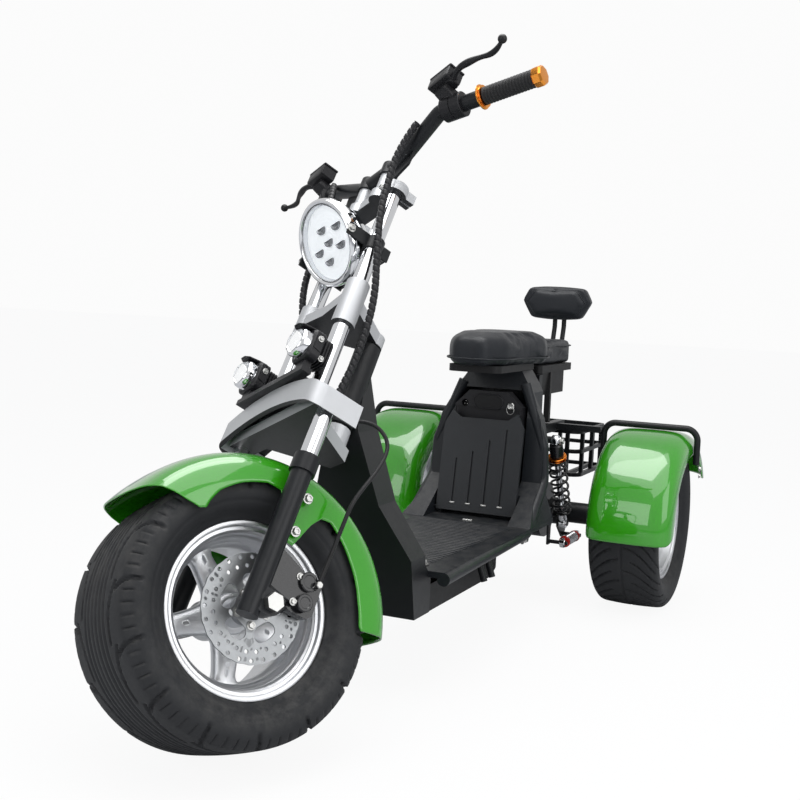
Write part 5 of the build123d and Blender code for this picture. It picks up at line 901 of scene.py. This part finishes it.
# Brake controls: each moulded perch clamps the bar inside the grip and carries a lidded fluid box and a cast lever on a
# pivot bolt. The lever is a tapered blade that bows ahead of the grip and ends in a ball.
control_plastic = finish("control_plastic", (0.012, 0.012, 0.014), 0.34, grain=(1400, 0.5, 0.12), dust=0.04)
blade_route = mm((133, 232, 1027), (156, 262, 1029), (148, 315, 1032), (129, 356, 1035), (143.9, 388, 1035))
for label, sign in hands:
    mirror = np.array([1, sign, 1])
    out = fork(bar_end * mirror) - fork(bar_bend * mirror)
    out /= np.linalg.norm(out)
    ring = mm((0, -22), (22.5, -22), (24, -20.5), (24, -1.5), (22.2, -0.5), (22.2, 0.5), (24, 1.5), (24, 20.5),
              (22.5, 22), (0, 22))
    y, pivot_y = sign * 0.222, sign * 0.242
    clamp = turned(ring, fork((0.1097, y, 0.9993)), out, 48)
    arm = box_loft([(0.118, y, 1.01, 0.015, 0.01), (0.121, y, 1.01, 0.017, 0.012), (0.148, y, 1.014, 0.017, 0.009),
                    (0.151, y, 1.014, 0.015, 0.007)], 6)
    tank = box_loft([(0.1287, y, 1.034, 0.029, 0.012), (0.13, y, 1.034, 0.031, 0.014),
                     (0.1614, y, 1.034, 0.031, 0.014), (0.1627, y, 1.034, 0.029, 0.012)], 9)
    lid = box_loft([(0.128, y, 1.0482, 0.0315, 0.0012), (0.129, y, 1.0482, 0.0325, 0.0022),
                    (0.1624, y, 1.0482, 0.0325, 0.0022), (0.1634, y, 1.0482, 0.0315, 0.0012)], 9)
    knuckle = turned(mm((0, -9), (10.5, -9), (12, -7.5), (12, 7.5), (10.5, 9), (0, 9)),
                     fork((0.14, pivot_y, 1.0275)), axis_up, 32)
    line, marks = evenly(route("blade_route", blade_route * mirror), 0.0015)
    share = marks / marks[-1]
    blade = along_path(line, 0.0078 - 0.003 * np.clip(share * 1.25, 0, 1) + 0.0008 * np.sin(share * 18), 20)
    bend = np.linspace(0, pi, 19)
    ball_radius = 0.0085
    arc = ball_radius * np.stack([np.sin(bend), -np.cos(bend)], -1)
    ball = turned(arc, fork(blade_route[-1] * mirror), axis_up, 28)
    made = build("brake_control_" + label, *joined([clamp, arm, tank, lid, knuckle, blade, ball]), control_plastic,
                 "steering", "black_plastic", sharp=35)
    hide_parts("lever_perch_" + label)
    lid_head = mm((0, 0), (4.2, 0), (4.2, 1.2), (3.6, 1.8), (0, 2))
    heads = [turned(lid_head, fork((0.1457, y + off, 1.0502)), axis_up, 16) for off in (0.024, -0.024)]
    pivot_head = mm((0, 0), (5.5, 0), (5.5, 3), (4.5, 3.8), (0, 4))
    pivot = turned(pivot_head, fork((0.14, pivot_y, 1.0365)), axis_up, 20)
    fixings("control_screws_" + label, heads + [pivot], "steering", 35)

# Seats: padded saddle, pillion pad and back pad, each foam under black vinyl, sewn with a raised welt and stapled to a
# pan or board. The vinyl is fine-grained with a low sheen, and the foam swells between the seams.
seat_vinyl = finish("seat_vinyl", (0.017, 0.019, 0.023), 0.4, scale=7, tone=0.2, spread=0.14,
                    grain=(1100, 0.75, 0.22), dust=0.06)


def padded_piece(name, solid, shrink, cap, keep_flat, rounds):
    """The pad of a CAD solid: remeshed, made smaller about its middle, blown up as cloth, each point's way capped, and
    kept above a value along one axis, where it is flat against its board."""
    source = cad[solid].data.copy()
    shape = bmesh.new()
    shape.from_mesh(source)
    bmesh.ops.remove_doubles(shape, verts=shape.verts, dist=1e-5)
    shape.to_mesh(source)
    shape.free()
    made = in_scene(name, source)
    remesh = made.modifiers.new("remesh", "REMESH")
    remesh.mode = "VOXEL"
    remesh.voxel_size = 0.005

    def applied():
        graph = bpy.context.evaluated_depsgraph_get()
        mesh = bpy.data.meshes.new_from_object(made.evaluated_get(graph))
        made.modifiers.clear()
        made.data = mesh
        return mesh

    round_off = made.modifiers.new("round_off", "SMOOTH")
    round_off.factor, round_off.iterations = 0.5, rounds
    mesh = applied()
    points = vertices_of(mesh)
    middle = (points.max(0) + points.min(0)) / 2
    small = middle + (points - middle) * (1 - 2 * np.asarray(shrink) / (points.max(0) - points.min(0)))
    mesh.vertices.foreach_set("co", small.ravel())
    mesh.update()
    cloth = made.modifiers.new("cloth", "CLOTH")
    cloth.settings.quality = 6
    cloth.settings.use_pressure = True
    cloth.settings.uniform_pressure_force = 4
    cloth.settings.effector_weights.gravity = 0
    cloth.settings.tension_stiffness = 30
    cloth.settings.compression_stiffness = 30
    for step in range(1, 21):
        bpy.context.scene.frame_set(step)
        bpy.context.view_layer.update()
    mesh = applied()
    bpy.context.scene.frame_set(1)
    way = vertices_of(mesh) - small
    far = np.linalg.norm(way, axis=1)[:, None]
    small = small + way * np.minimum(1, cap / np.maximum(far, 1e-9))
    axis, value = keep_flat
    small[:, axis] = np.maximum(small[:, axis], value)
    mesh.vertices.foreach_set("co", small.ravel())
    mesh.polygons.foreach_set("use_smooth", np.ones(len(mesh.polygons), bool))
    mesh.materials.clear()
    mesh.materials.append(seat_vinyl)
    mesh.update()
    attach(made, "body")
    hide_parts(solid)
    return made, small


def welt(name, points, level, radius):
    """A sewn cord round a pad: its farthest point in each of ninety directions near a level, drawn in a little."""
    near = points[np.abs(points[:, 2] - level) < 0.006]
    middle = (near.max(0) + near.min(0)) / 2
    offset = (near - middle)[:, :2]
    angle = np.arctan2(offset[:, 1], offset[:, 0])
    reach = np.linalg.norm(offset, axis=1)
    marks = np.linspace(-pi, pi, 90, endpoint=False)
    near_mark = np.cos(angle[None] - marks[:, None]) > np.cos(0.07)
    far = np.where(near_mark, reach[None], 0).max(1)
    blank = far == 0
    far[blank] = np.interp(marks[blank], marks[~blank], far[~blank], period=2 * pi)
    far = (np.roll(far, 1) + 2 * far + np.roll(far, -1)) / 4 - 0.0006
    path = np.stack([middle[0] + far * np.cos(marks), middle[1] + far * np.sin(marks), np.full(90, level)], -1)
    return build(name, *along_path(path, radius, 12, closed=True), seat_vinyl, "body", "seat_leather")


saddle, points = padded_piece("saddle_cover", "saddle", (0.001, 0.001, 0.001), 0.009, (2, 0.6072), 30)
welt("saddle_welt", points, 0.6225, 0.0022)
pillion, points = padded_piece("pillion_cover", "pillion_pad", (0.002, 0.002, 0.001), 0.003, (2, 0.5966), 8)
welt("pillion_welt", points, 0.643, 0.002)
back, points = padded_piece("back_cover", "back_pad", (0.004, 0.004, 0.003), 0.006, (0, -0.8828), 6)
back_middle, back_face = 0.755, -0.856
tall, wide = np.abs(points[:, 2] - back_middle), np.abs(points[:, 1])
six = np.maximum(tall / 0.031, (wide + tall * 0.75) / 0.08)
front = np.clip((points[:, 0] - back_face) / 0.004, 0, 1)
points[:, 0] += front * (0.003 * np.clip((1 - six) / 0.1, 0, 1) - 0.0022 * np.exp(-((six - 1.1) / 0.07) ** 2))
back.data.vertices.foreach_set("co", points.ravel())
corners = mm((84, 0), (59, 32.5), (-59, 32.5), (-84, 0), (-59, -32.5), (59, -32.5), (84, 0))
spot = np.linspace(0, 6, 120, endpoint=False)
seam = np.stack([np.interp(spot, np.arange(7), corners[:, k]) for k in range(2)], -1)
face = points[points[:, 0] > back_face]
nearest = np.argmin(((face[None, :, 1:] - (0, back_middle) - seam[:, None]) ** 2).sum(-1), 1)
lift = face[nearest, 0]
lift = sum(np.roll(lift, k) for k in range(-2, 3)) / 5
build("back_welt", *along_path(np.stack([lift, seam[:, 0], seam[:, 1] + back_middle], -1), 0.0016, 10, closed=True),
      seat_vinyl, "body", "seat_leather")
for pad in (saddle, pillion, back):
    finer = pad.modifiers.new("smooth", "SUBSURF")
    finer.levels = finer.render_levels = 1

# Rear dampers: a shock each side with a black wound spring over a bright rod and orange-gold collars, and a small level
# damper behind it with a chrome spring between red caps. Steel eyes hold both ends.
collar_gold = finish("collar_gold", (0.8, 0.24, 0.03), 0.24, metal=1.0, scale=30, tone=0.1, spread=0.1,
                     grain=(900, 0.2, 0.05), dust=0.03)
cap_red = finish("cap_red", (0.55, 0.02, 0.015), 0.28, coat=0.4, scale=30, grain=(900, 0.3, 0.05), dust=0.05)
spring_black = finish("spring_black", (0.01, 0.01, 0.012), 0.28, coat=0.3, grain=(900, 0.3, 0.08), dust=0.04)


def coil(start, way, side, length, turns, radius, wire):
    """A wound spring: a helix about the way from the start, with its ends wound closed as its rise eases in and out."""
    share = np.linspace(0, 1, int(turns * 40))
    rise = length * (share - 0.035 * np.sin(2 * pi * share))
    angle = share * turns * 2 * pi
    other = np.cross(way, side)
    path = start + rise[:, None] * way + radius * (np.cos(angle)[:, None] * side + np.sin(angle)[:, None] * other)
    return along_path(path, wire, 12)


def eye(place, half, radius):
    """A rubber-bushed eye about Y: a short ring round a sleeve, closed on its axis."""
    shares = ((0.62, 1), (0.66, 0.8), (0.95, 0.8), (1, 0.7))
    upper = [(radius * out, half * side) for out, side in shares]
    profile = [(0, -half), *((out, -side) for out, side in upper), *upper[::-1], (0, half)]
    return turned(profile, place, (0, 1, 0), 32)


for label, sign in hands:
    shock_y, damper_y = sign * 0.128, sign * 0.152
    top, low = np.array([-0.493, shock_y, 0.418]), np.array([-0.599, shock_y, 0.196])
    length = np.linalg.norm(low - top)
    way = (low - top) / length
    body_turn = mm((0, 8), (13, 8), (16.5, 12), (17.2, 20), (17.2, 44), (0, 44))
    foot = (0, length)
    rod = [(0, 0.044), (0.008, 0.044), *(foot + mm((8, -36), (11.8, -34), (11.8, -14), (6, -10), (0, -10)))]
    gold_turn = mm((0, 44), (22.5, 44), (23.8, 45.2), (23.8, 48), (20, 48.4), (20, 50), (23.6, 50.4), (23.6, 53),
                   (0, 54))
    low_turn = foot + mm((0, -40), (21.5, -40), (23.6, -39), (23.6, -37), (15, -33), (0, -33))
    spring = coil(top + way * 0.0555, way, np.array([0, 1.0, 0]), length - 0.0975, 7.5, 0.0205, 0.0031)
    dark = joined([turned(body_turn, top, way, 40), spring, turned(low_turn, top, way, 40)])
    made = build("shock_spring_" + label, *dark, spring_black, "body", "spring", sharp=35)
    steel_parts = joined([turned(rod, top, way, 32), eye(top, 0.01, 0.0135), eye(low, 0.01, 0.0135)])
    bright = build("shock_rod_" + label, *steel_parts, chrome, "body", "chrome", sharp=35)
    rings = build("shock_collars_" + label, *turned(gold_turn, top, way, 48), collar_gold, "body", "spring", sharp=30)
    for piece in (made, bright, rings):
        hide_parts("shock_" + label)
    front, rear = np.array([-0.521, damper_y, 0.16]), np.array([-0.641, damper_y, 0.16])
    back_way = (rear - front) / np.linalg.norm(rear - front)
    cap = mm((0, 0), (12.5, 0), (14.5, 1.2), (14.5, 4.5), (12.5, 5.8), (0, 5.8))
    caps = [turned(cap + (0, start), front, back_way, 32) for start in (0.015, 0.0995)]
    level_spring = coil(front + back_way * 0.0222, back_way, np.array([0, 0, 1.0]), 0.076, 8, 0.0118, 0.0017)
    level_rod = turned(mm((0, 8), (5.2, 8), (5.2, 112), (0, 112)), front, back_way, 24)
    level_eyes = [eye(place, 0.0065, 0.012) for place in (front, rear)]
    red = build("damper_caps_" + label, *joined(caps), cap_red, "body", "spring", sharp=30)
    bright = build("damper_spring_" + label, *joined([level_spring, level_rod, *level_eyes]), chrome, "body", "chrome",
                   sharp=35)
    for piece in (red, bright):
        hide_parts("axle_damper_" + label)

# Small steel parts at the back: the hoops' foot bolts and a flanged nut on each shock's upper pin. All are zinc-plated
# and sit against what they hold.
foot_bolts = [hex_head((axle_x, sign * 0.4505, z), (0, sign, 0), 0.0085) for sign in (1, -1) for z in (0.343, 0.361)]
pin_nuts = [hex_head((-0.493, sign * 0.14, 0.418), (0, sign, 0), 0.014) for sign in (1, -1)]
fixings("hoop_bolts", foot_bolts + pin_nuts, "body", 35)

# Studio: a plain pale floor, white to the camera and pale to gloss, soft light from a wide sky and four large lamps,
# one of which shows in gloss only.
studio_floor = bpy.data.materials.new("studio_floor")
studio_floor.use_nodes = True
floor_tree = studio_floor.node_tree
floor_matt = floor_tree.nodes["Principled BSDF"]
feed(floor_matt, {"Base Color": (0.8, 0.8, 0.81, 1), "Roughness": 0.7})
floor_rays = node(floor_tree, "ShaderNodeLightPath").outputs["Is Camera Ray"]
floor_share = node(floor_tree, "ShaderNodeMath", {0: floor_rays, 1: 0.9}, operation="MULTIPLY")
floor_white = node(floor_tree, "ShaderNodeEmission", {"Color": (1, 1, 1, 1), "Strength": 1.02})
floor_mix = node(floor_tree, "ShaderNodeMixShader",
                 {0: floor_share.outputs[0], 1: floor_matt.outputs[0], 2: floor_white.outputs[0]})
feed(floor_tree.nodes["Material Output"], {"Surface": floor_mix.outputs[0]})
floor_lines = np.linspace(-20, 20, 13)
floor_x, floor_y = np.meshgrid(floor_lines, floor_lines, indexing="ij")
floor_mesh = bpy.data.meshes.new("studio_floor")
floor_mesh.from_pydata(np.stack([floor_x, floor_y, floor_x * 0], -1).reshape(-1, 3), [],
                       grid_faces(13, 13)[:, ::-1].tolist())
floor_mesh.materials.append(studio_floor)
in_scene("studio_floor", floor_mesh)

world = bpy.data.worlds.new("studio_world")
bpy.context.scene.world = world
world.use_nodes = True
sky = world.node_tree
rays = node(sky, "ShaderNodeLightPath").outputs
seen = node(sky, "ShaderNodeMath", {0: rays["Is Camera Ray"], 1: rays["Is Transmission Ray"]}, operation="MAXIMUM")
seen_or_gloss = node(sky, "ShaderNodeMath", {0: seen.outputs[0], 1: rays["Is Glossy Ray"]}, operation="MAXIMUM")
plain = sky.nodes["Background"]
feed(plain, {"Color": (0.92, 0.95, 1.0, 1), "Strength": 0.42})
white_level = node(sky, "ShaderNodeMapRange", {0: seen.outputs[0], 3: 0.72, 4: 0.97})
white = node(sky, "ShaderNodeBackground", {"Color": (1, 1, 1, 1), "Strength": white_level.outputs[0]})
blend_sky = node(sky, "ShaderNodeMixShader", {0: seen_or_gloss.outputs[0], 1: plain.outputs[0], 2: white.outputs[0]})
feed(sky.nodes["World Output"], {"Surface": blend_sky.outputs[0]})

lamp_rows = [("lamp_over", (0.6, 0.6, 3.2), 3.0, 55, False), ("lamp_left", (1.2, 3.2, 1.8), 2.4, 38, False),
             ("lamp_front", (3.6, -0.8, 1.6), 2.0, 30, False), ("gloss_over", (-0.2, -0.3, 3.0), 2.0, 60, True)]
for label, place, size, power, glossy_only in lamp_rows:
    light = bpy.data.lights.new(label, "AREA")
    light.size = size
    light.energy = power
    lamp = in_scene(label, light)
    lamp.location = place
    lamp.visible_diffuse = not glossy_only
    lamp.rotation_euler = (Vector((0, 0, 0.45)) - Vector(place)).to_track_quat("-Z", "Y").to_euler()

# Camera: low in front of the left side, as in the photograph. Its place, turn and lens were solved together with the
# tricycle's sizes.
camera = bpy.data.cameras.new("camera")
camera.sensor_width = 36
camera.lens = 54.07
viewer = in_scene("camera", camera)
yaw, pitch, roll = np.radians([204.42, -5.12, 2.45])
forward = Vector((np.cos(yaw) * np.cos(pitch), np.sin(yaw) * np.cos(pitch), np.sin(pitch)))
right = Vector((np.sin(yaw), -np.cos(yaw), 0))
up_way = right.cross(forward)
turned_right = right * np.cos(roll) + up_way * np.sin(roll)
turned_up = up_way * np.cos(roll) - right * np.sin(roll)
viewer.matrix_world = Matrix((turned_right, turned_up, -forward)).transposed().to_4x4()
viewer.location = (2.35194, 0.99342, 0.76634)
bpy.context.scene.camera = viewer
bpy.context.scene.view_settings.view_transform = "Standard"
